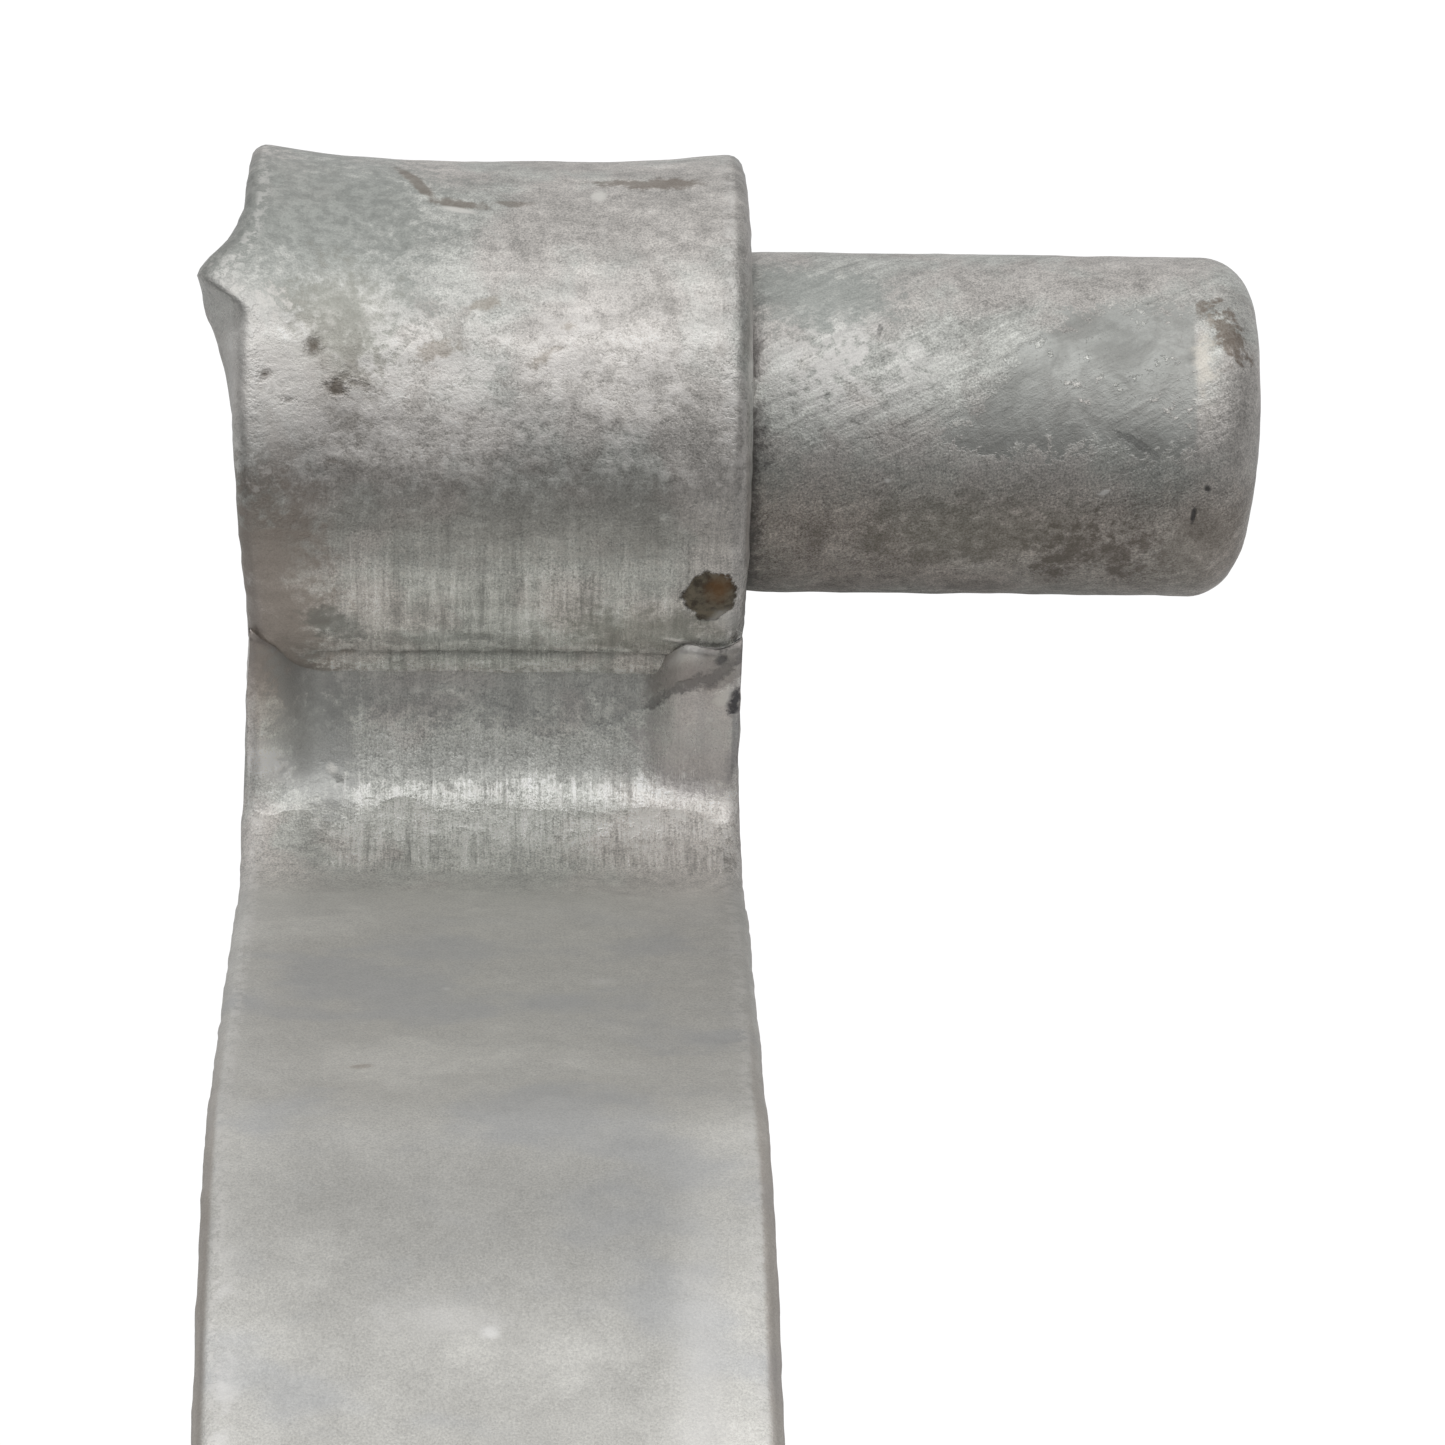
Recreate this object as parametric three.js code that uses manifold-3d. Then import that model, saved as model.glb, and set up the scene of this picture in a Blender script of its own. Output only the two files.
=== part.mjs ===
// Cranked strap hinge, the half that carries the pin: one flat bar rolled into an eye round a bare steel pin,
// the eye's tip closed onto the strap by a dressed weld, everything hot-dip galvanised.
//
// Frame, in millimetres: the pin's axis is the X axis, and its free end's flat face is at the origin, facing +X.
// The blade runs along -Y. +Z is the front, the side the crank lifts the blade towards.
import * as THREE from "three";
import { mergeVertices } from "three/addons/utils/BufferGeometryUtils.js";
import Module from "manifold-3d";

// ---- driving dimensions ----
const BAR_W = 30; // flat bar, width along X
const BAR_T = 5; // flat bar, thickness
const PIN_D = 20; // round bar
const PIN_L = 60; // whole length, its back end flush with the eye
const PIN_FREE = 30; // length standing out of the eye
const PIN_CORNER = 3.3; // rounded edge of the free end
const PIN_BACK_CHAMFER = 0.8; // edge of the end that sits flush in the eye
const BORE_CLEAR = 0.25; // radial play between the pin and the rolled eye
const CRANK_ANGLE = 33; // degrees, slope of the crank above the blade's plane
const CRANK_START = 20.5; // from the pin's axis to the first bend
const BEND_1_R = 16.5; // centre-line radius of the bend at the eye's foot
const BEND_2_R = 26; // centre-line radius of the bend at the blade
const BLADE_MID_Z = 9.7; // mid-plane of the blade above the pin's axis
const BLADE_END = 250; // from the pin's axis to the tip of the blade
const TIP_ANGLE = 206; // where the rolled tip stops, degrees round from the far side
const HOLE_D = 9; // clearance for M8
const HOLES_AT = [112, 172, 232]; // from the pin's axis
const EDGE_BREAK = 0.5; // rolled edge of the flat bar
const WELD_GAP = 0.3; // between the weld bead and the faces it lies on
const WELD_INSET = 0.5; // bead ends, in from the strap's edges
const LOOP_STEPS = 60;
const PIN_STEPS = 72;

const RAD = Math.PI / 180;
const BORE_R = PIN_D / 2 + BORE_CLEAR;
const MID_R = BORE_R + BAR_T / 2;
const X_RIGHT = -PIN_FREE; // right-hand face of the eye
const X_LEFT = X_RIGHT - BAR_W; // left-hand face of the eye

// ---- side profile of the bar ----
// s is the distance from the pin's axis towards the blade (so s = -y) and z is up.
// Each sample is a centre-line point with the unit normal that points to the bar's top, outer-loop side reversed.
function centreLine() {
  const line = [];
  const push = (s, z, ns, nz) => line.push({ s, z, ns, nz });
  // the loop, from the tip back round the far side to the bottom; the normal points to the pin
  const a0 = TIP_ANGLE * RAD;
  const a1 = -90 * RAD;
  for (let i = 0; i <= LOOP_STEPS; i++) {
    const a = a0 + ((a1 - a0) * i) / LOOP_STEPS;
    push(-MID_R * Math.cos(a), MID_R * Math.sin(a), Math.cos(a), -Math.sin(a));
  }
  // the first bend, turning up
  const t = CRANK_ANGLE * RAD;
  const foot = -MID_R;
  for (let i = 0; i <= 8; i++) {
    const a = (t * i) / 8;
    push(CRANK_START + BEND_1_R * Math.sin(a), foot + BEND_1_R * (1 - Math.cos(a)), -Math.sin(a), Math.cos(a));
  }
  // the second bend, turning level again
  const rise = BLADE_MID_Z - foot - (BEND_1_R + BEND_2_R) * (1 - Math.cos(t));
  const run = rise / Math.tan(t);
  const s2 = CRANK_START + BEND_1_R * Math.sin(t) + run;
  const level = s2 + BEND_2_R * Math.sin(t);
  for (let i = 0; i <= 12; i++) {
    const a = t * (1 - i / 12);
    push(level - BEND_2_R * Math.sin(a), BLADE_MID_Z - BEND_2_R * (1 - Math.cos(a)), -Math.sin(a), Math.cos(a));
  }
  push(BLADE_END, BLADE_MID_Z, 0, 1);
  return line;
}

function barProfile() {
  const line = centreLine();
  const h = BAR_T / 2;
  const inner = line.map((p) => new THREE.Vector2(-(p.s + p.ns * h), p.z + p.nz * h));
  const outer = line.map((p) => new THREE.Vector2(-(p.s - p.ns * h), p.z - p.nz * h));
  return new THREE.Shape([...inner, ...outer.reverse()]);
}

// A profile drawn in (y, z), swept along X from x0 to x1.
function alongX(shape, x0, x1, edge) {
  const g = new THREE.ExtrudeGeometry(shape, {
    depth: x1 - x0 - 2 * edge,
    bevelEnabled: edge > 0,
    bevelThickness: edge,
    bevelSize: edge,
    bevelOffset: -edge,
    bevelSegments: 1,
    curveSegments: 12,
    steps: 1,
  });
  // drawn x -> y, drawn y -> z, depth -> x
  const m = new THREE.Matrix4().set(0, 0, 1, x0 + edge, 1, 0, 0, 0, 0, 1, 0, 0, 0, 0, 0, 1);
  g.applyMatrix4(m);
  return g;
}

// ---- joining and cutting ----
const wasm = await Module();
wasm.setup();

function toSolid(geometry) {
  const g = geometry.clone();
  g.deleteAttribute("normal");
  g.deleteAttribute("uv");
  const merged = mergeVertices(g, 1e-4);
  return new wasm.Manifold(
    new wasm.Mesh({
      numProp: 3,
      vertProperties: merged.attributes.position.array,
      triVerts: new Uint32Array(merged.index.array),
    }),
  );
}

function toGeometry(solid) {
  const m = solid.getMesh();
  const g = new THREE.BufferGeometry();
  g.setAttribute("position", new THREE.BufferAttribute(new Float32Array(m.vertProperties), 3));
  g.setIndex(new THREE.BufferAttribute(new Uint32Array(m.triVerts), 1));
  g.computeVertexNormals();
  return g;
}

// ---- the strap leaf ----
function strapLeaf() {
  let solid = toSolid(alongX(barProfile(), X_LEFT, X_RIGHT, EDGE_BREAK));
  const midX = (X_LEFT + X_RIGHT) / 2;
  const half = BAR_W / 2;
  // rounded end: whatever lies outside a full radius at the blade's end is cut away
  const past = BLADE_END + 5;
  const outline = new THREE.Shape();
  outline.moveTo(midX - half - 3, -past);
  outline.lineTo(midX + half + 3, -past);
  outline.lineTo(midX + half + 3, -(BLADE_END - half));
  outline.lineTo(midX + half, -(BLADE_END - half));
  outline.absarc(midX, -(BLADE_END - half), half, 0, -Math.PI, true);
  outline.lineTo(midX - half - 3, -(BLADE_END - half));
  outline.closePath();
  const cutter = new THREE.ExtrudeGeometry(outline, { depth: 20, bevelEnabled: false, curveSegments: 36 });
  cutter.translate(0, 0, BLADE_MID_Z - 10);
  solid = solid.subtract(toSolid(cutter));
  for (const s of HOLES_AT) {
    const drill = new THREE.CylinderGeometry(HOLE_D / 2, HOLE_D / 2, 20, 32);
    drill.rotateX(Math.PI / 2);
    drill.translate(midX, -s, BLADE_MID_Z);
    solid = solid.subtract(toSolid(drill));
  }
  return toGeometry(solid);
}

// ---- the pin ----
function hingePin() {
  const r = PIN_D / 2;
  const profile = [
    new THREE.Vector2(0, 0),
    new THREE.Vector2(r - PIN_BACK_CHAMFER, 0),
    new THREE.Vector2(r, PIN_BACK_CHAMFER),
  ];
  for (let i = 0; i <= 6; i++) {
    const a = (Math.PI / 2) * (i / 6);
    profile.push(new THREE.Vector2(r - PIN_CORNER * (1 - Math.cos(a)), PIN_L - PIN_CORNER * (1 - Math.sin(a))));
  }
  profile.push(new THREE.Vector2(0, PIN_L));
  return new THREE.LatheGeometry(profile, PIN_STEPS);
}

// ---- the weld that closes the eye ----
function seamWeld() {
  const inner = BORE_R + 0.25;
  const onStrap = -BORE_R + WELD_GAP;
  const gapAngle = TIP_ANGLE + (WELD_GAP / MID_R / RAD) * 1.25;
  const shape = new THREE.Shape();
  const rootS = 6.5;
  const rootAngle = 180 + Math.acos(rootS / inner) / RAD;
  const toeS = CRANK_START - 0.5;
  shape.moveTo(-rootS, onStrap);
  for (let i = 0; i <= 6; i++) {
    const a = (rootAngle + ((gapAngle - rootAngle) * i) / 6) * RAD;
    shape.lineTo(inner * Math.cos(a), inner * Math.sin(a));
  }
  const outer = BORE_R + BAR_T - 0.15;
  const a = gapAngle * RAD;
  shape.lineTo(outer * Math.cos(a), outer * Math.sin(a));
  shape.quadraticCurveTo(-15.2, onStrap + 0.9, -toeS, onStrap + 0.6);
  shape.lineTo(-toeS, onStrap);
  shape.closePath();
  return alongX(shape, X_LEFT + WELD_INSET, X_RIGHT - WELD_INSET, 0);
}

// ---- assembly ----
const zinc = new THREE.MeshStandardMaterial({ color: 0x9b9a94, roughness: 0.48, metalness: 0.65 });
const pinZinc = new THREE.MeshStandardMaterial({ color: 0x8f8e88, roughness: 0.42, metalness: 0.7 });
const weldZinc = new THREE.MeshStandardMaterial({ color: 0x93918b, roughness: 0.52, metalness: 0.6 });

const root = new THREE.Group();

const leaf = new THREE.Mesh(strapLeaf(), zinc);
leaf.name = "strap_leaf";

const pinGroup = new THREE.Group();
pinGroup.position.set(-PIN_L, 0, 0);
const pin = new THREE.Mesh(hingePin(), pinZinc);
pin.name = "hinge_pin";
pin.rotation.z = -Math.PI / 2; // the lathe's axis, +Y, is turned to +X
pinGroup.add(pin);

const weld = new THREE.Mesh(seamWeld(), weldZinc);
weld.name = "eye_seam_weld";

root.add(leaf, pinGroup, weld);

export default root;
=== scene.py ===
import math

import bmesh
import bpy
import numpy as np
from mathutils import Matrix, Vector


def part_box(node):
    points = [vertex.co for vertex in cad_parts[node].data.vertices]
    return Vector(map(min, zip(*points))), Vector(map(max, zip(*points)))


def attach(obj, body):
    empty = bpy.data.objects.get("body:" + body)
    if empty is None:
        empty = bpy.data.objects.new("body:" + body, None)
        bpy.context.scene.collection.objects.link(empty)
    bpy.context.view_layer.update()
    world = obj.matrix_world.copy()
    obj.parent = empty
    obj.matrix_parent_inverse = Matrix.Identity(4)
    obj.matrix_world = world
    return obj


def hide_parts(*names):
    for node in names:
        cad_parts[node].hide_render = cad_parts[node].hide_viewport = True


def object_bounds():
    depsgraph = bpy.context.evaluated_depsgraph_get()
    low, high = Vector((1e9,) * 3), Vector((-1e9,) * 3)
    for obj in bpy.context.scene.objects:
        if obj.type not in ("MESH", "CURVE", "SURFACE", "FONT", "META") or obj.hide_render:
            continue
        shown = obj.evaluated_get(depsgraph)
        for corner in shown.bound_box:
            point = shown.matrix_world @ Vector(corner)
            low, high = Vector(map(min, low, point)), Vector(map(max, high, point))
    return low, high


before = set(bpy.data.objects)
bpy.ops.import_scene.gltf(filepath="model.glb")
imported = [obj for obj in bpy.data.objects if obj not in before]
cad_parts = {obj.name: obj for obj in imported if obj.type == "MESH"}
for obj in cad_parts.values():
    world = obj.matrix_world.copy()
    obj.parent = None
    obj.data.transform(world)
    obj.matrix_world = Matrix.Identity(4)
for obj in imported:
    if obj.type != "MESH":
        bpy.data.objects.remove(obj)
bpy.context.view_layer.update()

MM = 0.001

# ------------------------------------------------------------------ sizes, in millimetres
strap_lo, strap_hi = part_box("strap_leaf")
XC = (strap_lo.x + strap_hi.x) / 2 / MM      # middle of the bar's width, in the row frame
HALF_W = (strap_hi.x - strap_lo.x) / 2 / MM - 0.33  # half the bar's width, less the drawing of its edges
END_S = -strap_lo.y / MM                     # the blade's tip, from the pin's axis
T = 5.0                  # bar thickness
H = T / 2
PIN_R = 10.0
MID_R = 12.75            # centre line of the rolled eye
TIP_A = 206.0            # degrees where the rolled tip stops
CRANK_S, R1, R2, CRANK_A = 21.6, 14.5, 26.0, math.radians(33)
BLADE_Z = 9.7
HOLES = (112.0, 172.0, 232.0)
HOLE_R = 4.5


# ------------------------------------------------------------------ smooth value noise on arrays
def _hash(ix, iy, iz, seed):
    h = (ix.astype(np.int64) * 374761393 + iy.astype(np.int64) * 668265263
         + iz.astype(np.int64) * 2147483647 + seed * 974711) & 0x7FFFFFFF
    h = (h ^ (h >> 13)) * 1274126177 & 0x7FFFFFFF
    h = (h ^ (h >> 16)) * 668265263 & 0x7FFFFFFF
    return (h & 0xFFFF) / 32767.5 - 1.0


def vnoise(p, seed=0):
    """Value noise, -1 to 1, at the rows of p."""
    f = np.floor(p)
    d = p - f
    d = d * d * d * (d * (d * 6 - 15) + 10)
    i = f.astype(np.int64)
    out = 0
    for a in (0, 1):
        for b in (0, 1):
            for c in (0, 1):
                w = ((d[:, 0] if a else 1 - d[:, 0]) * (d[:, 1] if b else 1 - d[:, 1])
                     * (d[:, 2] if c else 1 - d[:, 2]))
                out = out + w * _hash(i[:, 0] + a, i[:, 1] + b, i[:, 2] + c, seed)
    return out


def fbm(p, seed=0, octaves=3, gain=0.5):
    out, amp, q = 0, 1.0, p.copy()
    for o in range(octaves):
        out = out + amp * vnoise(q, seed + o * 17)
        q = q * 2.03 + 11.7
        amp *= gain
    return out


def smooth(x, a, b):
    x = np.clip((np.asarray(x, float) - a) / (b - a), 0, 1)
    return x * x * (3 - 2 * x)


# ------------------------------------------------------------------ the bar's centre line
LOOP_LEN = MID_R * math.radians(TIP_A + 90)
FOOT = -MID_R
RISE = BLADE_Z - FOOT - (R1 + R2) * (1 - math.cos(CRANK_A))
RUN = RISE / math.tan(CRANK_A)
SLOPE_LEN = RISE / math.sin(CRANK_A)
T1 = LOOP_LEN + CRANK_S          # first bend starts
T2 = T1 + R1 * CRANK_A           # slope starts
T3 = T2 + SLOPE_LEN              # second bend starts
T4 = T3 + R2 * CRANK_A           # blade starts
LEVEL_S = CRANK_S + R1 * math.sin(CRANK_A) + RUN + R2 * math.sin(CRANK_A)
TIP_R = HALF_W                   # rounded end
T5 = T4 + (END_S - TIP_R - LEVEL_S)  # the rounded end's centre


def path(t):
    """Centre line at arc length t from the rolled tip: s, z, and the unit normal (ns, nz) to the bar's front side."""
    t = np.asarray(t, float)
    s, z = np.zeros_like(t), np.zeros_like(t)
    ns, nz = np.zeros_like(t), np.ones_like(t)
    m = t < LOOP_LEN
    a = math.radians(TIP_A) - t[m] / MID_R
    s[m], z[m], ns[m], nz[m] = -MID_R * np.cos(a), MID_R * np.sin(a), np.cos(a), -np.sin(a)
    m = (t >= LOOP_LEN) & (t < T1)
    s[m], z[m] = t[m] - LOOP_LEN, FOOT
    m = (t >= T1) & (t < T2)
    a = (t[m] - T1) / R1
    s[m], z[m], ns[m], nz[m] = CRANK_S + R1 * np.sin(a), FOOT + R1 * (1 - np.cos(a)), -np.sin(a), np.cos(a)
    m = (t >= T2) & (t < T3)
    c, k = math.cos(CRANK_A), math.sin(CRANK_A)
    s[m] = CRANK_S + R1 * k + (t[m] - T2) * c
    z[m] = FOOT + R1 * (1 - c) + (t[m] - T2) * k
    ns[m], nz[m] = -k, c
    m = (t >= T3) & (t < T4)
    a = CRANK_A - (t[m] - T3) / R2
    s[m], z[m], ns[m], nz[m] = LEVEL_S - R2 * np.sin(a), BLADE_Z - R2 * (1 - np.cos(a)), -np.sin(a), np.cos(a)
    m = t >= T4
    s[m], z[m] = LEVEL_S + t[m] - T4, BLADE_Z
    return s, z, ns, nz


# ------------------------------------------------------------------ cross-section ring
NW, NC, NS = 58, 5, 6          # steps across a face, round a corner, down a side
RC = 0.95                      # corner radius of the drawn bar


def ring_points():
    """Closed ring in (x, n): front face left to right, right side, back face right to left, left side."""
    w, h = HALF_W - RC, H - RC
    x = list(np.linspace(-w, w, NW + 1))
    n = [H] * (NW + 1)

    def corner(cx, cn, a0, a1, last):
        for i in range(1, NC + (1 if last else 0)):
            a = math.radians(a0 + (a1 - a0) * i / NC)
            x.append(cx + RC * math.cos(a))
            n.append(cn + RC * math.sin(a))

    corner(w, h, 90, 0, True)
    for i in range(1, NS + 1):
        x.append(HALF_W)
        n.append(h - 2 * h * i / NS)
    corner(w, -h, 0, -90, False)
    x += list(np.linspace(w, -w, NW + 1))
    n += [-H] * (NW + 1)
    corner(-w, -h, -90, -180, True)
    for i in range(1, NS + 1):
        x.append(-HALF_W)
        n.append(-h + 2 * h * i / NS)
    corner(-w, h, 180, 90, False)
    return np.array(x), np.array(n)


RX, RN = ring_points()
NR = len(RX)
FRONT = list(range(NW + 1))                            # front-face columns, left to right
BACK0 = NW + 1 + NC + NS + NC - 1                      # first back-face point (right)
BACK = [BACK0 + NW - j for j in range(NW + 1)]         # back-face columns, left to right
assert all(abs(RX[a] - RX[b]) < 1e-9 for a, b in zip(FRONT, BACK))

# image-up and towards-the-front directions of the inspection view, in (s, z); used to place the zinc runs
UP = (-math.cos(math.radians(40)), math.sin(math.radians(40)))
TOW = (math.sin(math.radians(40)), math.cos(math.radians(40)))

# how far the zinc drip stands out of the eye's left rim, by height in the view
DRIP_U = [-9.0, -8.1, -5.7, -3.4, -1.0, 0.18, 1.36, 2.55, 3.75, 4.9, 6.1, 7.0, 7.7, 8.3, 8.9, 9.66, 10.85, 12.0, 13.0]
DRIP_A = [-0.10, -0.16, -0.10, 0.04, 0.20, 0.30, 0.44, 0.72, 1.10, 1.50, 2.02, 2.38, 2.50, 2.22, 1.72, 1.02, 0.34, 0.03, 0.0]


def strap_rows():
    a = np.concatenate([np.arange(0, 3.6, 0.15), np.arange(3.6, LOOP_LEN, 0.40)])
    b = np.arange(LOOP_LEN, T4, 0.42)
    c = np.linspace(T4, T5, int((T5 - T4) / 0.7))
    return np.concatenate([a, b, c])


def tip_cut(x):
    """How far the rolled tip is cut back from square, across the bar."""
    x = np.asarray(x, float)
    left = 3.4 * smooth(-x, 9.6, 14.9) ** 1.15
    right = 1.5 * smooth(x, 11.8, 14.9)
    q = np.stack([x.ravel() * 0.35, x.ravel() * 0, x.ravel() * 0 + 3.3], 1)
    return left + right + 0.16 * vnoise(q, 5).reshape(x.shape)


def rim_lift(x):
    q = np.clip(np.abs(x) / HALF_W, 0, 1.02)
    return np.where(np.asarray(x) < 0, 0.95 * q ** 3.0, 0.66 * q ** 2.9)


def ground_dip(t):
    """The face of the foot is ground away a little between the seam and the slope."""
    d = t - LOOP_LEN
    return 1.55 * smooth(d, 7.5, 17.0) * (1 - smooth(d, 21.0, 36.0))


def build_strap():
    rows = strap_rows()
    n_rows = len(rows)
    cap = np.radians(np.linspace(0, 90, 30))[1:]
    tt = np.concatenate([np.repeat(rows[:, None], NR, 1), np.full((len(cap), NR), T5)])
    xx = np.concatenate([np.repeat(RX[None], n_rows, 0), np.zeros((len(cap), NR))])
    nn = np.repeat(RN[None], n_rows + len(cap), 0)
    ds = np.zeros_like(tt)  # extra reach along the blade for the rounded end
    sign = np.sign(RX)
    for i, al in enumerate(cap):
        r = n_rows + i
        inner = np.minimum(np.abs(RX), HALF_W - RC) / (HALF_W - RC)
        edge = np.abs(RX) > HALF_W - RC + 1e-9
        rad = np.where(edge, np.abs(RX), HALF_W - RC)
        xx[r] = sign * np.where(edge, rad, inner * (HALF_W - RC)) * math.cos(al)
        ds[r] = rad * math.sin(al)
    # the cut-back corners of the rolled tip, left larger than right
    fade = np.clip(1 - tt / 9.0, 0, 1) ** 1.5
    tq = tt + tip_cut(xx) * fade
    s, z, ns, nz = path(tq.ravel())
    s, z, ns, nz = (v.reshape(tt.shape) for v in (s, z, ns, nz))

    loop = 1 - smooth(tt, LOOP_LEN - 2, LOOP_LEN + 9)          # 1 round the pin
    x = xx.copy()
    n = nn.copy()
    # rolled hot: the outer fibre draws in, the inner one spreads
    draw = np.where(xx > 0, 0.028, 0.020)
    grow = np.where(n < 0, 1 + draw * n / H, 1 + 0.006 * n / H)
    x = x * (1 + (grow - 1) * loop) - 0.13 * loop
    # and the rims lift off the pin (saddle shape)
    n = n - rim_lift(xx) * loop * (0.35 + 0.65 * smooth(tq, 6, 20))
    # slightly thinner over the top of the bend
    n = n * (1 - 0.02 * loop)
    # the bar is not dead straight
    x = x - 0.17 * np.exp(-((tt - LOOP_LEN - 14.0) / 12.0) ** 2)
    x = x + np.interp(tt, [92, 110, 125, 152, 200, 240, 330], [0, -0.08, -0.13, 0.13, 0.15, 0.10, 0.05])
    n = n - ground_dip(tt) * np.where(nn > 0, 1, 0.25)
    # the tip's edge was swollen by the welding, with a toe groove above it
    outer = smooth(-nn, 0.5, 2.2)
    n = n - 0.30 * np.exp(-((tt - 0.9) / 0.95) ** 2) * outer * smooth(xx, -13.5, -9.0)
    n = n + 0.13 * np.exp(-((tt - 2.55) / 0.33) ** 2) * outer * smooth(xx, -12.5, -9.5)

    s = s + n * ns + ds
    z = z + n * nz

    # zinc drip on the left rim of the eye
    up = s * UP[0] + z * UP[1]
    tow = s * TOW[0] + z * TOW[1]
    amp = np.interp(up, DRIP_U, DRIP_A)
    facing = smooth(tow, 4.0, 9.5) * (tt < LOOP_LEN)
    flush = smooth(up, 5.6, 7.9)                     # flush with the eye's face above, only on its side below
    side = flush * smooth(-xx, 9.6, 14.6) ** 2.2 + (1 - flush) * smooth(-xx, HALF_W - 0.5, HALF_W - 0.05) * smooth(nn, -H + 0.15, -H + 3.2)
    depth = 0.62 + 0.38 * smooth(-nn, -2.5, 1.2) * flush + 0.38 * (1 - flush)
    x = x - amp * facing * side * depth
    # below the drip the face reaches nearly to the side
    reach = 0.22 * (1 - smooth(up, 4.5, 8.0)) * facing * smooth(-xx, 9.0, 14.0) * smooth(-nn, -0.5, 2.0) * smooth(tt, 8.0, 15.0)
    x = x - reach
    # and it draws in towards the tip
    x = x + 0.24 * smooth(-xx, 9.0, 14.0) * (1 - smooth(tt, 5.5, 11.0))
    # the drip also swells the front face a little beside it
    swell = 0.30 * np.exp(-((up - 7.6) / 2.2) ** 2) * smooth(-xx, 9.5, 14.0) * facing * (nn < 0)
    s = s - swell * ns
    z = z - swell * nz

    co = np.stack([x + XC, -s, z], -1)
    tag_t, tag_x, tag_n = tq.copy(), xx.copy(), nn.copy()
    tag_t = tag_t + ds
    verts = [tuple(v) for v in co.reshape(-1, 3)]
    tags = [tuple(v) for v in np.stack([tag_t, tag_x, tag_n], -1).reshape(-1, 3)]
    total = co.shape[0]

    def vid(r, k):
        return r * NR + (k % NR)

    # holes: blocks of cells on both faces are replaced by rings that turn round
    blocks = []
    reach_t = np.concatenate([rows, T5 + (HALF_W - RC) * np.sin(cap)])     # the rounded end's rows count too
    for hs in HOLES:
        ht = T4 + hs - LEVEL_S
        i0 = int(np.argmin(abs(reach_t - (ht - 6.5))))
        i1 = int(np.argmin(abs(reach_t - (ht + 6.5))))
        mid = NW // 2
        half = 13
        blocks.append((hs, i0, i1, mid - half, mid + half))

    def skipped(r, k, cols):
        for _, i0, i1, j0, j1 in blocks:
            if i0 <= r < i1:
                if cols == "front" and j0 <= k < j1:
                    return True
                if cols == "back" and j0 <= k < j1:
                    return True
        return False

    faces = []
    for r in range(total - 1):
        for k in range(NR):
            if k < NW and skipped(r, k, "front"):
                continue
            if BACK0 <= k < BACK0 + NW and skipped(r, NW - 1 - (k - BACK0), "back"):
                continue
            faces.append((vid(r, k), vid(r, k + 1), vid(r + 1, k + 1), vid(r + 1, k)))

    # tip cap: one smaller ring half a millimetre further on, then ladder faces
    cap_ring = []
    for k in range(NR):
        a = math.radians(TIP_A) - tq[0, k] / MID_R
        radial = np.array([0.0, math.cos(a), math.sin(a)])      # away from the pin's axis
        ahead = np.array([0.0, -math.sin(a), math.cos(a)])      # the way the tip points
        p = co[0, k] - np.array([RX[k] * 0.45 / HALF_W, 0, 0])
        p = p + radial * RN[k] * 0.45 / H + ahead * 0.30
        cap_ring.append(len(verts))
        verts.append(tuple(p))
        tags.append((-0.3, RX[k], RN[k]))
    for k in range(NR):
        a, b = vid(0, k), vid(0, k + 1)
        faces.append((a, cap_ring[k], cap_ring[(k + 1) % NR], b))
    for j in range(NW):
        faces.append((cap_ring[FRONT[j]], cap_ring[FRONT[j + 1]], cap_ring[BACK[j + 1]], cap_ring[BACK[j]])[::-1])
    right = [cap_ring[k] for k in range(NW, BACK0 + 1)]
    left = [cap_ring[k % NR] for k in range(BACK0 + NW, NR + 1)]
    faces.append(tuple(right)[::-1])
    faces.append(tuple(left)[::-1])

    # the holes' rings
    for hs, i0, i1, j0, j1 in blocks:
        loop_rc = ([(i0, j) for j in range(j0, j1)] + [(i, j1) for i in range(i0, i1)]
                   + [(i1, j) for j in range(j1, j0, -1)] + [(i, j0) for i in range(i1, i0, -1)])
        count = len(loop_rc)
        sq = np.array([(co[r, FRONT[c], 0] - XC, -co[r, FRONT[c], 1] - hs) for r, c in loop_rc])
        ang = np.arctan2(sq[:, 0], sq[:, 1])
        # even out the angles
        circ = np.stack([np.sin(ang), np.cos(ang)], 1)
        lip = 0.55
        levels = []
        for f in (0.18, 0.36, 0.54, 0.71, 0.86, 1.0):
            xy = sq * (1 - f) + circ * (HOLE_R + lip) * f
            levels.append((xy, H))
        for a in (30, 60, 90):
            a = math.radians(a)
            levels.append((circ * (HOLE_R + lip * (1 - math.sin(a))), H - lip * (1 - math.cos(a))))
        for zf in (0.45, 0.0, -0.45):
            levels.append((circ * HOLE_R, (H - lip) * zf))
        for a in (90, 60, 30):
            a = math.radians(a)
            levels.append((circ * (HOLE_R + lip * (1 - math.sin(a))), -H + lip * (1 - math.cos(a))))
        for f in (1.0, 0.86, 0.71, 0.54, 0.36, 0.18):
            xy = sq * (1 - f) + circ * (HOLE_R + lip) * f
            levels.append((xy, -H))
        prev = [vid(r, FRONT[c]) for r, c in loop_rc]
        for xy, lev in levels:
            cur = []
            for i in range(count):
                cur.append(len(verts))
                verts.append((xy[i, 0] + XC, -(xy[i, 1] + hs), BLADE_Z + lev))
                tags.append((T4 + hs + xy[i, 1] - LEVEL_S, xy[i, 0], lev))
            for i in range(count):
                k = (i + 1) % count
                faces.append((prev[i], prev[k], cur[k], cur[i]))
            prev = cur
        last = [vid(r, BACK[c]) for r, c in loop_rc]
        for i in range(count):
            k = (i + 1) % count
            faces.append((prev[i], prev[k], last[k], last[i]))
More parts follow.
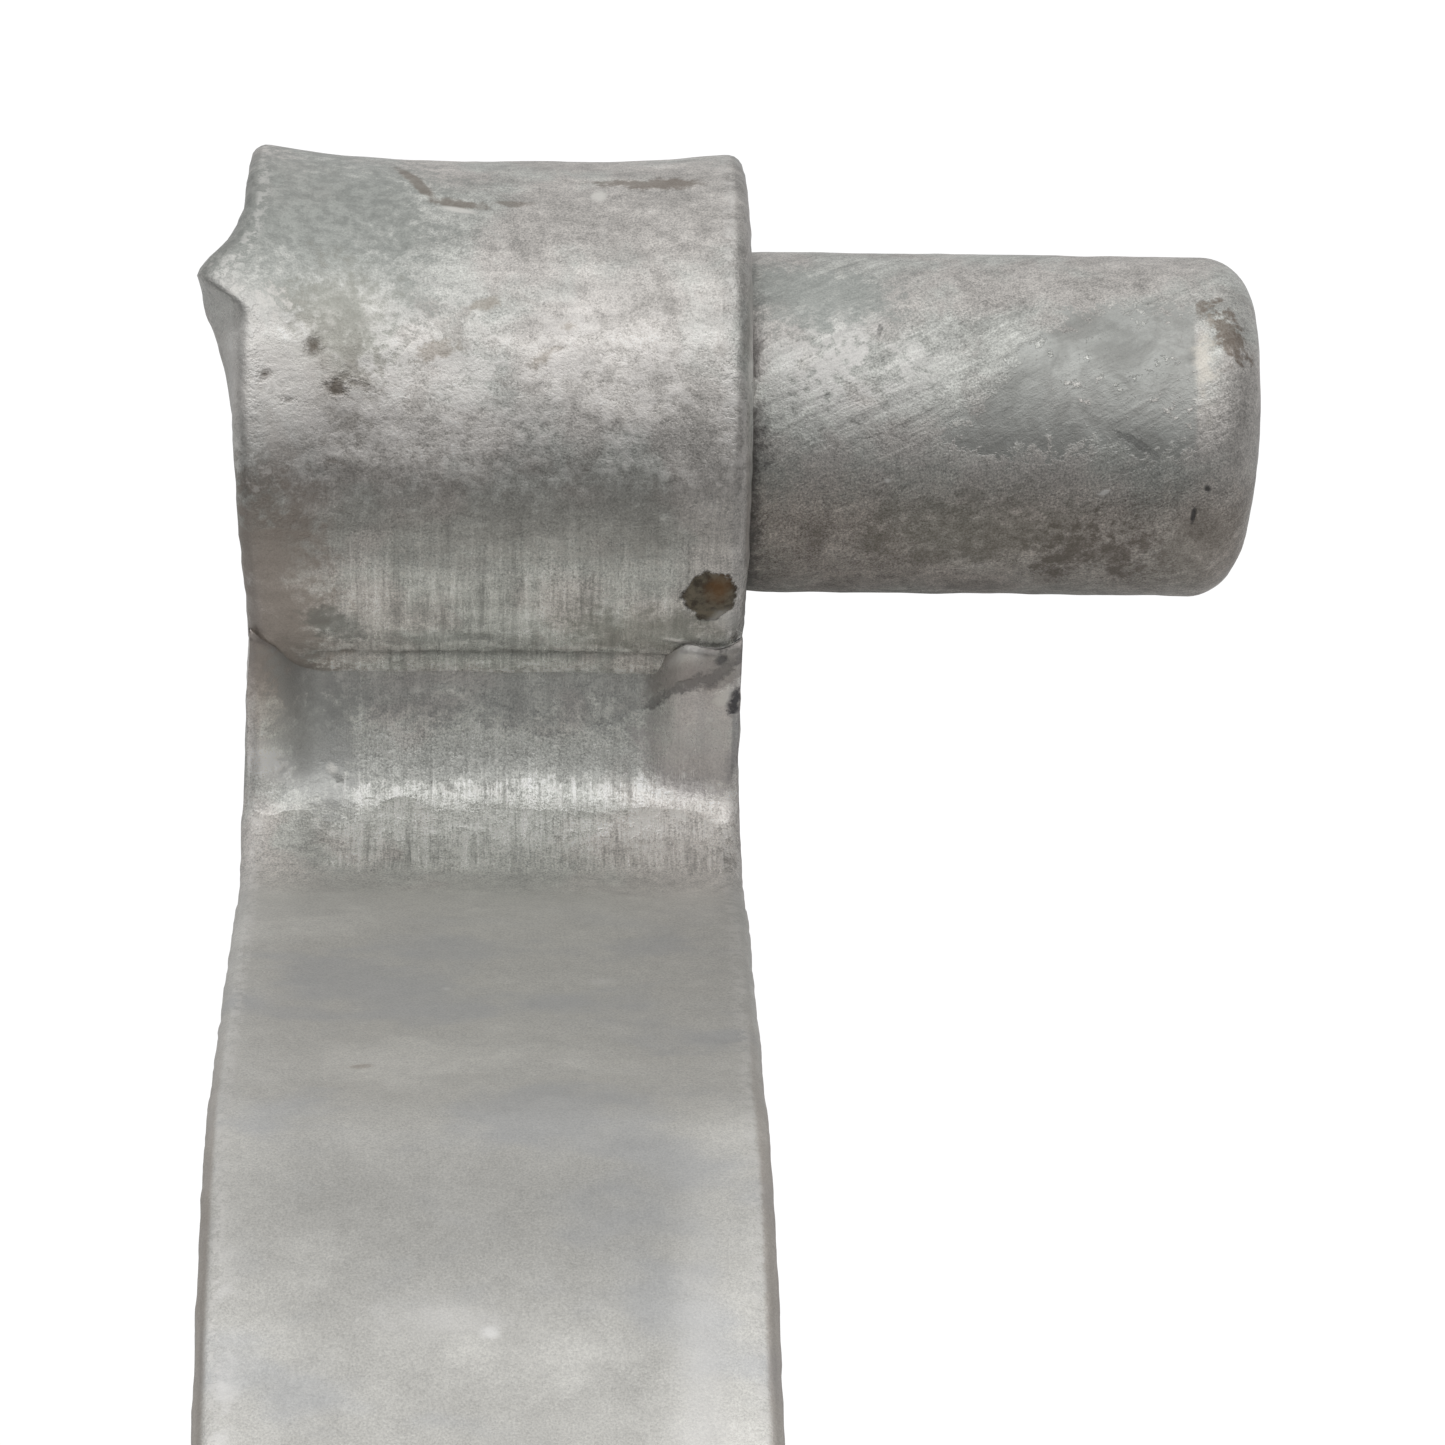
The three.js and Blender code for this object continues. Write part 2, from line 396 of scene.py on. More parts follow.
    return np.array(verts), np.array(tags), faces


def relief(co, nrm, tag):
    """Small real unevenness of the zinc, in mm along the normal."""
    t, x, n = tag[:, 0], tag[:, 1], tag[:, 2]
    d = 0.045 * fbm(co / 3.6, 3, 3) + 0.02 * fbm(co / 1.1, 9, 2)
    # beads of zinc along the bar's edges
    edge = smooth(np.abs(x), HALF_W - 1.3, HALF_W - 0.4)
    d = d + edge * 0.05 * fbm(co / np.array([1.2, 1.2, 1.2]), 21, 2)
    return d


def make_mesh(name, verts, faces, tags, relief_fn=None, weld=1e-5):
    me = bpy.data.meshes.new(name)
    me.from_pydata([tuple(v * MM) for v in verts], [], faces)
    at = me.attributes.new("flow", "FLOAT_VECTOR", "POINT")
    at.data.foreach_set("vector", np.asarray(tags, np.float32).ravel())
    bm = bmesh.new()
    bm.from_mesh(me)
    bmesh.ops.remove_doubles(bm, verts=bm.verts, dist=weld * MM * 100)
    bmesh.ops.dissolve_degenerate(bm, edges=bm.edges, dist=1e-7)
    bmesh.ops.recalc_face_normals(bm, faces=bm.faces)
    bm.to_mesh(me)
    bm.free()
    me.update()
    if relief_fn:
        k = len(me.vertices)
        co = np.zeros(k * 3, np.float32)
        me.vertices.foreach_get("co", co)
        co = co.reshape(-1, 3).astype(float) / MM
        nr = np.zeros(k * 3, np.float32)
        me.vertex_normals.foreach_get("vector", nr)
        nr = nr.reshape(-1, 3).astype(float)
        tg = np.zeros(k * 3, np.float32)
        me.attributes["flow"].data.foreach_get("vector", tg)
        tg = tg.reshape(-1, 3).astype(float)
        co = co + nr * relief_fn(co, nr, tg)[:, None]
        me.vertices.foreach_set("co", (co * MM).astype(np.float32).ravel())
        me.update()
    for p in me.polygons:
        p.use_smooth = True
    ob = bpy.data.objects.new(name, me)
    bpy.context.scene.collection.objects.link(ob)
    return ob


# ------------------------------------------------------------------ the pin
def build_pin():
    lo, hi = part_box("hinge_pin")
    x0, x1 = lo.x / MM, hi.x / MM
    prof = [(x0, 0.0), (x0, 3.0), (x0, 6.0), (x0, 8.6), (x0 + 0.06, 9.05), (x0 + 0.25, 9.45), (x0 + 0.6, 9.8), (x0 + 1.1, PIN_R)]
    body = np.arange(x0 + 1.7, x1 - 4.3, 0.45)
    prof += [(v, PIN_R) for v in body]
    rc = 3.0
    corner0 = len(prof)
    for i in range(0, 15):
        a = math.radians(90 * i / 14)
        prof.append((x1 - 0.3 - rc + rc * math.sin(a), PIN_R - rc + rc * math.cos(a)))
    for r in (5.6, 4.9, 4.0, 3.0, 2.0, 1.0):
        prof.append((x1 - 0.3 * (r / (PIN_R - rc)) ** 2, r))
    prof.append((x1, 0.0))
    n = 144
    verts, tags, faces, idx = [], [], [], []
    run = 0.0
    for j, (x, r) in enumerate(prof):
        if j:
            run += math.hypot(x - prof[j - 1][0], r - prof[j - 1][1])
        if r == 0:
            idx.append([len(verts)])
            verts.append((x, 0, 0))
            tags.append((run, 0, r))
            continue
        row = []
        for i in range(n):
            a = 2 * math.pi * i / n
            row.append(len(verts))
            # the end was knocked off by hand: its edge is rounder on the under side
            under = 0.5 - 0.5 * math.cos(a - math.radians(40))
            off = (0.50 * under + 0.12) * smooth(x, x1 - 6.5, x1 - 1.5) * smooth(r, 2.0, 8.5)
            verts.append((x - float(off), r * math.cos(a), r * math.sin(a)))
            tags.append((run, PIN_R * a, r))
        idx.append(row)
    for a, b in zip(idx[:-1], idx[1:]):
        for i in range(n):
            k = (i + 1) % n
            if len(a) == 1:
                faces.append((a[0], b[k], b[i]))
            elif len(b) == 1:
                faces.append((a[i], a[k], b[0]))
            else:
                faces.append((a[i], a[k], b[k], b[i]))
    return np.array(verts), np.array(tags), faces


def pin_relief(co, nrm, tag):
    d = 0.05 * fbm(co / 4.5, 31, 3) + 0.015 * fbm(co / 1.0, 37, 2)
    inside = smooth(-co[:, 0], 29.0, 31.5)   # in the eye it stays true, so that it turns freely
    return d * (1 - 0.8 * inside) + 0.08 * (1 - inside) - 0.05 * inside


# ------------------------------------------------------------------ the seam weld
SEAM_TOP = math.radians(28)         # how the bead's face looks out just under the tip's edge
SEAM_PULL, TOE_PULL = 7.6, 1.6      # how long the face stays steep, and flat
TOE = (21.9, -11.88)                # where it runs into the foot, in (s, z)


def build_weld():
    """Concave dressed bead: front surface from under the tip's edge down to the foot, solid through to the bore."""
    w = HALF_W - 0.34
    wl = HALF_W - 0.16                           # reaches a little further at the left
    nx, nv = 96, 34
    xs = np.concatenate([[-wl], np.linspace(-wl + 0.25, w - 0.25, nx - 1), [w]])
    f = np.repeat((np.arange(nv + 1) / nv)[None], len(xs), 0)
    x = np.repeat(xs[:, None], nv + 1, 1)
    x = x + 0.30 * smooth(-x, 12.5, 14.2) * (1 - smooth(f, 0.0, 0.28))      # narrower beside the tip
    # starts inside the tip, a little back from its edge, and laps onto the eye at both ends
    puddle = smooth(-xs, 11.2, 13.0)
    lap = smooth(xs, 8.6, 11.2) * (1 - 0.30 * smooth(xs, 11.4, 13.8))
    base_t = tip_cut(xs) + 0.45
    tip_t = base_t + 1.1 * puddle + 3.9 * lap
    qs, qz, qns, qnz = path(base_t)
    qn = -(H - 0.30) - rim_lift(xs) * 0.35
    q0 = np.stack([qs + qn * qns, qz + qn * qnz], 1)
    ps, pz, pns, pnz = path(tip_t)
    pn = -(H - 0.30) - rim_lift(xs) * (0.35 + 0.4 * lap) - 0.40 * puddle - 0.34 * lap
    p0 = np.stack([ps + pn * pns, pz + pn * pnz], 1)[:, None, :]
    st = SEAM_TOP - math.radians(14) * puddle
    p1 = (q0 + (SEAM_PULL - 1.2 * puddle[:, None]) * np.stack([np.sin(st), -np.cos(st)], 1))[:, None, :]
    # the toe comes back a little at both ends
    back = 0.95 * smooth(-xs, 8.8, 11.6) + 0.60 * smooth(xs, 8.0, 11.0)
    p3 = (np.array(TOE)[None] - np.stack([back, -0.02 * back], 1))[:, None, :]
    p2 = p3 + np.array([-TOE_PULL, 0.24])
    g = f[..., None]
    curve = (1 - g) ** 3 * p0 + 3 * (1 - g) ** 2 * g * p1 + 3 * (1 - g) * g ** 2 * p2 + g ** 3 * p3
    tang = 3 * (1 - g) ** 2 * (p1 - p0) + 6 * (1 - g) * g * (p2 - p1) + 3 * g ** 2 * (p3 - p2)
    tang = tang / np.linalg.norm(tang, axis=-1, keepdims=True)
    s, z = curve[..., 0], curve[..., 1]
    ux, uz = -tang[..., 1], tang[..., 0]          # out of the surface
    # rounds back at its ends
    edge = np.clip((np.abs(x) - (np.where(x < 0, wl, w) - 0.9)) / 0.9, 0, 1)
    s = s - 0.42 * edge ** 2 * ux
    z = z - 0.42 * edge ** 2 * uz
    # lumps, bigger towards the right-hand end
    top = (1 - f) ** 1.3
    p = np.stack([x.ravel(), s.ravel(), z.ravel()], 1)
    lump = 0.045 * fbm(p / 2.4, 51, 3).reshape(x.shape)
    right = smooth(x, 9.0, 12.0)
    lump = lump + right * (0.16 * fbm(p / 1.6, 55, 2).reshape(x.shape) * top ** 0.6 + 0.20 * (1 - smooth(f, 0.08, 0.42)))
    left = smooth(-x, 9.2, 10.6) * (1 - smooth(-x, 13.2, 14.4))
    lump = lump + left * 0.05 * smooth(f, 0.10, 0.40) * (1 - smooth(f, 0.55, 0.98))
    toe = 1 - smooth(f, 0.80, 1.0)
    s = s + lump * toe * ux
    z = z + lump * toe * uz
    # the back: inside the tip's end, down the bore beside the pin, then along inside the foot
    bs, bz = np.zeros_like(s), np.zeros_like(z)
    for i in range(len(xs)):
        ta = math.radians(TIP_A) - (tip_cut(xs[i:i + 1])[0] + 0.6) / MID_R
        pts = [(-MID_R * math.cos(ta), MID_R * math.sin(ta))]
        for q in (0.0, 0.35, 0.7, 1.0):
            a = ta + (math.radians(230) - ta) * q
            pts.append((-10.62 * math.cos(a), 10.62 * math.sin(a)))
        pts += [(6.85, -10.9), (14.0, -12.0), (21.8, -12.5)]
        pts = np.array(pts)
        d = np.concatenate([[0], np.cumsum(np.linalg.norm(np.diff(pts, axis=0), axis=1))])
        bs[i] = np.interp(f[i] * d[-1], d, pts[:, 0])
        bz[i] = np.interp(f[i] * d[-1], d, pts[:, 1])
    verts, tags, faces = [], [], []
    grid, rear = [], []
    for i in range(len(xs)):
        grid.append(list(range(len(verts), len(verts) + nv + 1)))
        for j in range(nv + 1):
            verts.append((x[i, j] + XC, -s[i, j], z[i, j]))
            tags.append((78.4 + 8.4 * f[i, j], x[i, j], 5.0 + f[i, j]))
        rear.append(list(range(len(verts), len(verts) + nv + 1)))
        for j in range(nv + 1):
            verts.append((x[i, j] + XC, -bs[i, j], bz[i, j]))
            tags.append((90.0, x[i, j], 9.0))
    for i in range(len(xs) - 1):
        for j in range(nv):
            faces.append((grid[i][j], grid[i + 1][j], grid[i + 1][j + 1], grid[i][j + 1]))
            faces.append((rear[i][j], rear[i][j + 1], rear[i + 1][j + 1], rear[i + 1][j]))
        for j, flip in ((0, False), (nv, True)):
            q = (grid[i][j], rear[i][j], rear[i + 1][j], grid[i + 1][j])
            faces.append(q if flip else q[::-1])
    # the ends, slightly crowned and uneven
    for i, flip in ((0, True), (len(xs) - 1, False)):
        rungs = [grid[i]]
        sg = -1 if i == 0 else 1
        for q in (0.12, 0.3, 0.5, 0.7, 0.88):
            row = []
            for j in range(nv + 1):
                cs, cz = s[i, j] * (1 - q) + bs[i, j] * q, z[i, j] * (1 - q) + bz[i, j] * q
                out = 0.08 * math.sin(math.pi * q) - 0.50 * q ** 2
                out += 0.12 * float(fbm(np.array([[cs / 1.5, cz / 1.5, 3.0 * i]]), 61, 2)[0])
                row.append(len(verts))
                verts.append((x[i, j] + sg * out + XC, -cs, cz))
                tags.append((90.0, x[i, j], 9.0))
            rungs.append(row)
        rungs.append(rear[i])
        for a, b in zip(rungs[:-1], rungs[1:]):
            for j in range(nv):
                q = (a[j], a[j + 1], b[j + 1], b[j])
                faces.append(q if flip else q[::-1])
    return np.array(verts), np.array(tags), faces


v, tg, fc = build_strap()
strap = make_mesh("strap_zinc", v, fc, tg, relief)
v, tg, fc = build_pin()
pin = make_mesh("pin_zinc", v, fc, tg, pin_relief)
v, tg, fc = build_weld()
weld = make_mesh("weld_zinc", v, fc, tg)

# ------------------------------------------------------------------ materials
METAL, ROUGH = 0.55, 0.36
# the first lifts the slope's and the blade's colour as painted light, the second makes them rougher
SLOPE_PAINTED_LIFT, SLOPE_ROUGH = 0.08, 0.08


class Graph:
    """A material under construction: each call adds a node and returns its output socket. Lengths are in millimetres."""

    def __init__(self, name):
        self.m = bpy.data.materials.new(name)
        self.m.use_nodes = True
        self.t = self.m.node_tree
        self.t.nodes.clear()
        out = self.t.nodes.new("ShaderNodeOutputMaterial")
        self.b = self.t.nodes.new("ShaderNodeBsdfPrincipled")
        self.t.links.new(self.b.outputs[0], out.inputs["Surface"])
        tc = self.t.nodes.new("ShaderNodeTexCoord")
        self.pos = self.vm("SCALE", tc.outputs["Object"], scale=1000.0)
        at = self.t.nodes.new("ShaderNodeAttribute")
        at.attribute_name = "flow"
        self.flow = at.outputs["Vector"]
        sp = self.t.nodes.new("ShaderNodeSeparateXYZ")
        self.put(sp.inputs[0], self.flow)
        self.u, self.v, self.w = sp.outputs

    def put(self, sock, val):
        if hasattr(val, "is_output"):
            self.t.links.new(val, sock)
        elif isinstance(val, (tuple, list)) and sock.type == "RGBA" and len(val) == 3:
            sock.default_value = (*val, 1)
        else:
            sock.default_value = val

    def mt(self, op, a, b=0.0, c=0.0, clamp=False):
        n = self.t.nodes.new("ShaderNodeMath")
        n.operation = op
        n.use_clamp = clamp
        self.put(n.inputs[0], a)
        self.put(n.inputs[1], b)
        self.put(n.inputs[2], c)
        return n.outputs[0]

    def add(self, *vals):
        r = vals[0]
        for v in vals[1:]:
            r = self.mt("ADD", r, v)
        return r

    def mul(self, *vals):
        r = vals[0]
        for v in vals[1:]:
            r = self.mt("MULTIPLY", r, v)
        return r

    def sub(self, a, b):
        return self.mt("SUBTRACT", a, b)

    def mx(self, *vals):
        r = vals[0]
        for v in vals[1:]:
            r = self.mt("MAXIMUM", r, v)
        return r

    def inv(self, a):
        return self.mt("SUBTRACT", 1.0, a)

    def vm(self, op, a, b=None, scale=None):
        n = self.t.nodes.new("ShaderNodeVectorMath")
        n.operation = op
        self.put(n.inputs[0], a)
        if b is not None:
            self.put(n.inputs[1], b)
        if scale is not None:
            self.put(n.inputs[3], scale)
        return n.outputs["Value"] if op in ("LENGTH", "DISTANCE", "DOT_PRODUCT") else n.outputs["Vector"]

    def xyz(self, x, y, z=0.0):
        n = self.t.nodes.new("ShaderNodeCombineXYZ")
        for s, v in zip(n.inputs, (x, y, z)):
            self.put(s, v)
        return n.outputs[0]

    def noise(self, vec, scale, detail=3.0, rough=0.55, dist=0.0, shift=None):
        if shift is not None:
            vec = self.vm("ADD", vec, shift)
        n = self.t.nodes.new("ShaderNodeTexNoise")
        self.put(n.inputs["Vector"], vec)
        n.inputs["Scale"].default_value = scale
        n.inputs["Detail"].default_value = detail
        n.inputs["Roughness"].default_value = rough
        n.inputs["Distortion"].default_value = dist
        return n.outputs["Fac"]

    def rng(self, v, a, b, c=0.0, d=1.0, smooth=True):
        n = self.t.nodes.new("ShaderNodeMapRange")
        n.interpolation_type = "SMOOTHSTEP" if smooth else "LINEAR"
        self.put(n.inputs[0], v)
        for s, q in zip(n.inputs[1:5], (a, b, c, d)):
            self.put(s, q)
        return n.outputs[0]

    def mix(self, f, a, b, mode="MIX"):
        n = self.t.nodes.new("ShaderNodeMix")
        n.data_type = "RGBA"
        n.blend_type = mode
        self.put(n.inputs[0], f)
        self.put(n.inputs[6], a)
        self.put(n.inputs[7], b)
        return n.outputs[2]

    def mixf(self, f, a, b):
        n = self.t.nodes.new("ShaderNodeMix")
        n.data_type = "FLOAT"
        self.put(n.inputs[0], f)
        self.put(n.inputs[2], a)
        self.put(n.inputs[3], b)
        return n.outputs[0]

    def bright(self, col, k):
        """Colour times a number."""
        return self.vm("SCALE", col, scale=k)

    def blob(self, c, r, turn=0.0, ragged=0.35, soft=0.25):
        """1 inside a ragged ellipse on the (u, v) surface, 0 outside. c, r in mm."""
        du, dv = self.sub(self.u, c[0]), self.sub(self.v, c[1])
        k, s = math.cos(turn), math.sin(turn)
        if turn:
            a = self.mt("MULTIPLY_ADD", du, k / r[0], self.mul(dv, s / r[0]))
            b = self.mt("MULTIPLY_ADD", dv, k / r[1], self.mul(du, -s / r[1]))
        else:
            a, b = self.mul(du, 1 / r[0]), self.mul(dv, 1 / r[1])
        d = self.vm("LENGTH", self.xyz(a, b))
        d = self.mt("MULTIPLY_ADD", self.rag, 7.0 * ragged, d)
        return self.rng(d, 1 + soft, 1 - soft)

    def shade(self, col, mask, k, target):
        """Mixes a colour towards a target by mask times k: for stains, and for painted highlights and painted shade."""
        return self.mix(self.mul(mask, k) if k != 1 else mask, col, target)

    def done(self, color, rough, height, metallic=METAL):
        self.put(self.b.inputs["Base Color"], color)
        self.put(self.b.inputs["Roughness"], self.mt("MAXIMUM", rough, 0.16))
        self.put(self.b.inputs["Metallic"], metallic)
        bump = self.t.nodes.new("ShaderNodeBump")
        bump.inputs["Strength"].default_value = 1.0
        bump.inputs["Distance"].default_value = 0.001
        self.put(bump.inputs["Height"], height)
        self.put(self.b.inputs["Normal"], bump.outputs[0])
        return self.m


WARM, COOL = (0.665, 0.636, 0.604), (0.583, 0.589, 0.557)
OLIVE = (0.31, 0.315, 0.265)


def skin(g, calm=None, even=None, grain=1.0):
    """What all the zinc shares: patches of warm and cool grey, cloudy mottling, sandy grain."""
    big = g.noise(g.pos, 0.105, 2.0, 0.6)
    cloud = g.sub(g.noise(g.pos, 0.36, 4.0, 0.62, 0.5, shift=(7.0, 3.0, 1.0)), 0.5)
    curd = g.sub(g.noise(g.pos, 1.45, 4.0, 0.68, 0.0, shift=(1.0, 9.0, 4.0)), 0.5)
    sand = g.sub(g.noise(g.pos, 8.5, 2.0, 0.8, 0.0, shift=(3.0, 2.0, 8.0)), 0.5)
    g.rag = g.mt("MULTIPLY_ADD", curd, 0.7, g.mul(cloud, 0.5))     # shared raggedness for the edges of marks
    g.big, g.cloud, g.curd, g.sand = big, cloud, curd, sand
    c1 = curd if calm is None else g.mul(curd, calm)
    s1 = sand if calm is None else g.mul(sand, g.mt("MULTIPLY_ADD", calm, 0.6, 0.4))
    patch = g.rng(g.mt("MULTIPLY_ADD", cloud, 0.45, big), 0.41, 0.58)
    if even is not None:
        patch = g.mixf(even, patch, 0.55)
    col = g.mix(patch, WARM, COOL)
    lum = g.mt("MULTIPLY_ADD", cloud if even is None else g.mul(cloud, g.mt("MULTIPLY_ADD", even, -0.65, 1.0)), 0.80 * grain, 1.0)
    lum = g.mt("MULTIPLY_ADD", c1, 0.95 * grain, lum)
    lum = g.mt("MULTIPLY_ADD", s1, 1.75 * grain, lum)
    col = g.bright(col, lum)
    rough = g.mt("MULTIPLY_ADD", cloud, -0.30, ROUGH)
    rough = g.mt("MULTIPLY_ADD", c1, 0.22, rough)
    height = g.mt("MULTIPLY_ADD", c1, 0.075, g.mul(s1, 0.020))
    return col, rough, height


def streaks(g):
    """Grinding marks along the bar: widths of line from one to a tenth of a millimetre. Returns line tone and cut height."""
    x = g.mt("MULTIPLY_ADD", g.cloud, 0.25, g.v)
    wide = g.sub(g.noise(g.xyz(g.mul(x, 1.1), g.mul(g.u, 0.06), 1.0), 1.0, 2.0, 0.7), 0.5)
    fine = g.sub(g.noise(g.xyz(g.mul(x, 4.6), g.mul(g.u, 0.22), 5.0), 1.0, 3.0, 0.8), 0.5)
    lines = g.mt("MULTIPLY_ADD", fine, 1.15, g.mul(wide, 0.75))
    cut = g.mt("MULTIPLY_ADD", fine, 0.050, g.mul(wide, 0.075))
    return lines, cut


def strap_material():
    g = Graph("zinc_strap")
    # small scales rest on the long smooth slope and come back along the blade
    slope = g.mul(g.rng(g.u, 92.0, 99.0), g.rng(g.u, 150.0, 128.0))
    calm = g.mx(g.rng(g.u, 91.0, 97.0, 1.0, 0.20), g.rng(g.u, 158.0, 176.0))
    even = g.rng(g.u, 88.0, 98.0)
    col, rough, height = skin(g, calm, even)
    front = g.rng(g.w, 1.5, 2.3)
    on_eye = g.mul(g.rng(g.w, 1.5, -1.5), g.rng(g.u, 66.0, 62.0))
    # ground areas: the eye's lower face and the neck
    uw = g.mt("MULTIPLY_ADD", g.rag, 9.0, g.u)
    vw = g.mt("MULTIPLY_ADD", g.rag, 3.0, g.v)
    side = g.rng(vw, -10.8, -8.6)
    ga = g.mul(g.rng(uw, 15.2, 7.0), on_eye, side)
    gn = g.mul(g.rng(g.u, 70.0, 74.0), g.rng(g.mt("MULTIPLY_ADD", g.rag, 4.0, g.u), 92.0, 90.7), front, side)
    ground = g.mx(ga, gn)
    lines, cut = streaks(g)
    lg = g.mul(lines, ground)
    tone = g.mt("MULTIPLY_ADD", ga, 0.16, 1.0)
    tone = g.mt("MULTIPLY_ADD", gn, 0.26, tone)
    col = g.bright(col, g.mt("MULTIPLY_ADD", lg, g.mt("MULTIPLY_ADD", gn, 0.6, 1.25), tone))
    rough = g.mt("MULTIPLY_ADD", ground, -0.05, g.mt("MULTIPLY_ADD", lg, -0.30, rough))
    col = g.bright(col, g.mt("MULTIPLY_ADD", g.mul(g.sand, ground), 0.35, 1.0))
    # painted highlight: the neck just under the weld's toe is lighter, with bright flecks, carrying the toe's highlight
    # on
    painted_toe_highlight = g.mul(gn, g.rng(g.mt("MULTIPLY_ADD", lines, 2.4, g.u), 90.0, 87.2))
    col = g.bright(col, g.mt("MULTIPLY_ADD", painted_toe_highlight, 0.20, 1.0))
    col = g.shade(col, g.mul(painted_toe_highlight, g.rng(g.mt("MULTIPLY_ADD", lines, 0.8, g.curd), 0.0, 0.15)), 0.55, (0.96, 0.95, 0.92))
    nick = g.mul(ground, g.rng(g.mt("MULTIPLY_ADD", lines, 0.45, g.mt("MULTIPLY_ADD", g.sand, 0.8, g.curd)), 0.10, 0.19))
    col = g.shade(col, nick, 0.55, (0.95, 0.93, 0.89))
    height = g.mt("MULTIPLY_ADD", cut, ground, height)
    # the neck is paler at its left edge, duller at its right
    col = g.bright(col, g.add(1.0, g.mul(front, g.rng(g.u, 74.0, 80.0), g.rng(g.u, 98.0, 90.0), g.rng(g.v, -9.8, -12.0), 0.15), g.mul(gn, g.rng(g.v, 6.5, 11.0), -0.15)))
    # the slope and the blade are smoother castings of the bath: dull, and their colour is lifted as painted light for
    # the dim reflection they catch
    col = g.bright(col, g.mt("MULTIPLY_ADD", slope, SLOPE_PAINTED_LIFT, 1.0))
    rough = g.mt("MULTIPLY_ADD", slope, SLOPE_ROUGH, rough)
    # the tip's swollen edge is lighter, as painted highlight, with flecks, and a dark line of painted shade in the toe
    # groove above it
    painted_land_highlight = g.mul(g.rng(g.u, 2.2, 1.6), on_eye, g.rng(vw, -11.5, -10.0))
    fleck = g.rng(g.mt("MULTIPLY_ADD", lines, 0.35, g.curd), 0.0, 0.09)
    painted_groove_shade = g.mul(g.rng(g.mt("ABSOLUTE", g.sub(g.mt("MULTIPLY_ADD", g.rag, 1.5, g.u), 2.55)), 0.50, 0.10), on_eye, g.rng(vw, -12.5, -11.0))
    col = g.bright(col, g.add(1.0, g.mul(painted_land_highlight, 0.16), g.mul(painted_land_highlight, fleck, g.rng(g.u, 1.9, 0.6, 0.22, 0.60)), g.mul(painted_groove_shade, -0.34)))
    # crust over the eye's highlight: pale and dark curds, with the zone's colour also lifted as painted highlight
    frost = g.mul(on_eye, g.rng(uw, 13.2, 17.2), g.rng(uw, 26.0, 20.0))
    crust = g.rng(g.mt("MULTIPLY_ADD", g.curd, 0.8, g.cloud), -0.07, 0.10)
    col = g.bright(col, g.mt("MULTIPLY_ADD", frost, 0.16, 1.0))
    col = g.mix(g.mul(frost, crust, 0.60), col, (0.93, 0.895, 0.865))
    rough = g.mt("MULTIPLY_ADD", frost, -0.05, rough)
    dark = g.mul(frost, g.rng(g.mt("MULTIPLY_ADD", g.curd, 0.6, g.mul(g.cloud, -1.0)), 0.06, 0.16))
    col = g.mix(g.mul(dark, 0.38), col, (0.33, 0.315, 0.29))
    # smears lying across the eye
    smear = g.sub(g.noise(g.xyz(g.mul(g.u, 0.75), g.mul(g.v, 0.16), 3.0), 1.0, 3.0, 0.6), 0.5)
    col = g.bright(col, g.mt("MULTIPLY_ADD", g.mul(smear, on_eye), 1.0, 1.0))
    # cool dull film at the upper left
    film = g.mul(on_eye, g.blob((28.2, -10.6), (6.2, 7.0), 0.35, 0.50, 0.40))
    col = g.shade(col, film, 0.66, g.mix(g.rng(g.curd, -0.12, 0.12), (0.40, 0.42, 0.395), (0.55, 0.575, 0.54)))
    green = g.mul(on_eye, g.blob((21.6, -9.0), (2.4, 2.6), 0.3, 0.6, 0.6))
    col = g.shade(col, green, 0.42, (0.45, 0.435, 0.37))
    # the dark band under the highlight, painted shade with a warm tint, and the brown haze at the left
    painted_dark_band = g.mul(on_eye, g.rng(uw, 15.5, 12.5), g.rng(uw, 8.6, 11.5), g.rng(vw, 12.5, 9.5, 0.35, 1.0))
    col = g.shade(col, painted_dark_band, 0.34, (0.35, 0.315, 0.28))
    haze = g.mul(on_eye, g.blob((4.8, -13.0), (9.0, 3.2), 0.0, 0.5, 0.5))
    col = g.shade(col, haze, 0.70, (0.40, 0.335, 0.29))
    # olive and dark smears above the seam
    sm1 = g.mul(on_eye, g.blob((4.9, 9.0), (1.7, 4.6), 0.0, 0.55, 0.5))
    sm2 = g.mul(on_eye, g.blob((5.3, -9.4), (1.1, 1.9), 0.5, 0.5, 0.35))
    sm3 = g.mul(on_eye, g.blob((4.4, -4.5), (0.8, 4.0), 0.0, 0.8, 0.5))
    col = g.shade(col, sm1, 0.55, OLIVE)
    col = g.shade(col, g.mx(sm2, g.mul(sm3, 0.5)), 0.60, (0.26, 0.27, 0.25))
    # stains on top of the eye
    s1 = g.blob((30.9, -4.75), (2.2, 0.36), -0.55, 0.28, 0.35)
    s2 = g.blob((28.95, -2.3), (0.36, 1.7), 0.18, 0.40, 0.35)
    s3 = g.blob((28.95, 1.0), (0.20, 1.3), 0.0, 0.55, 0.45)
    s4 = g.blob((31.0, 8.6), (0.48, 3.3), 0.06, 0.55, 0.35)
    stain = g.mul(g.mx(s1, s2, g.mul(s3, 0.8), s4), on_eye)
    col = g.shade(col, stain, 0.70, (0.27, 0.225, 0.185))
    rough = g.mt("MULTIPLY_ADD", stain, 0.08, rough)
    # painted highlights on zinc drops beside the stains
    d1 = g.blob((28.42, -2.3), (0.20, 1.0), 0.20, 0.15, 0.50)
    d2 = g.blob((29.75, 6.0), (0.50, 0.42), 0.0, 0.35, 0.50)
    painted_drop_glints = g.mul(g.mx(d1, d2), on_eye)
    col = g.shade(col, painted_drop_glints, 0.85, (0.95, 0.93, 0.88))
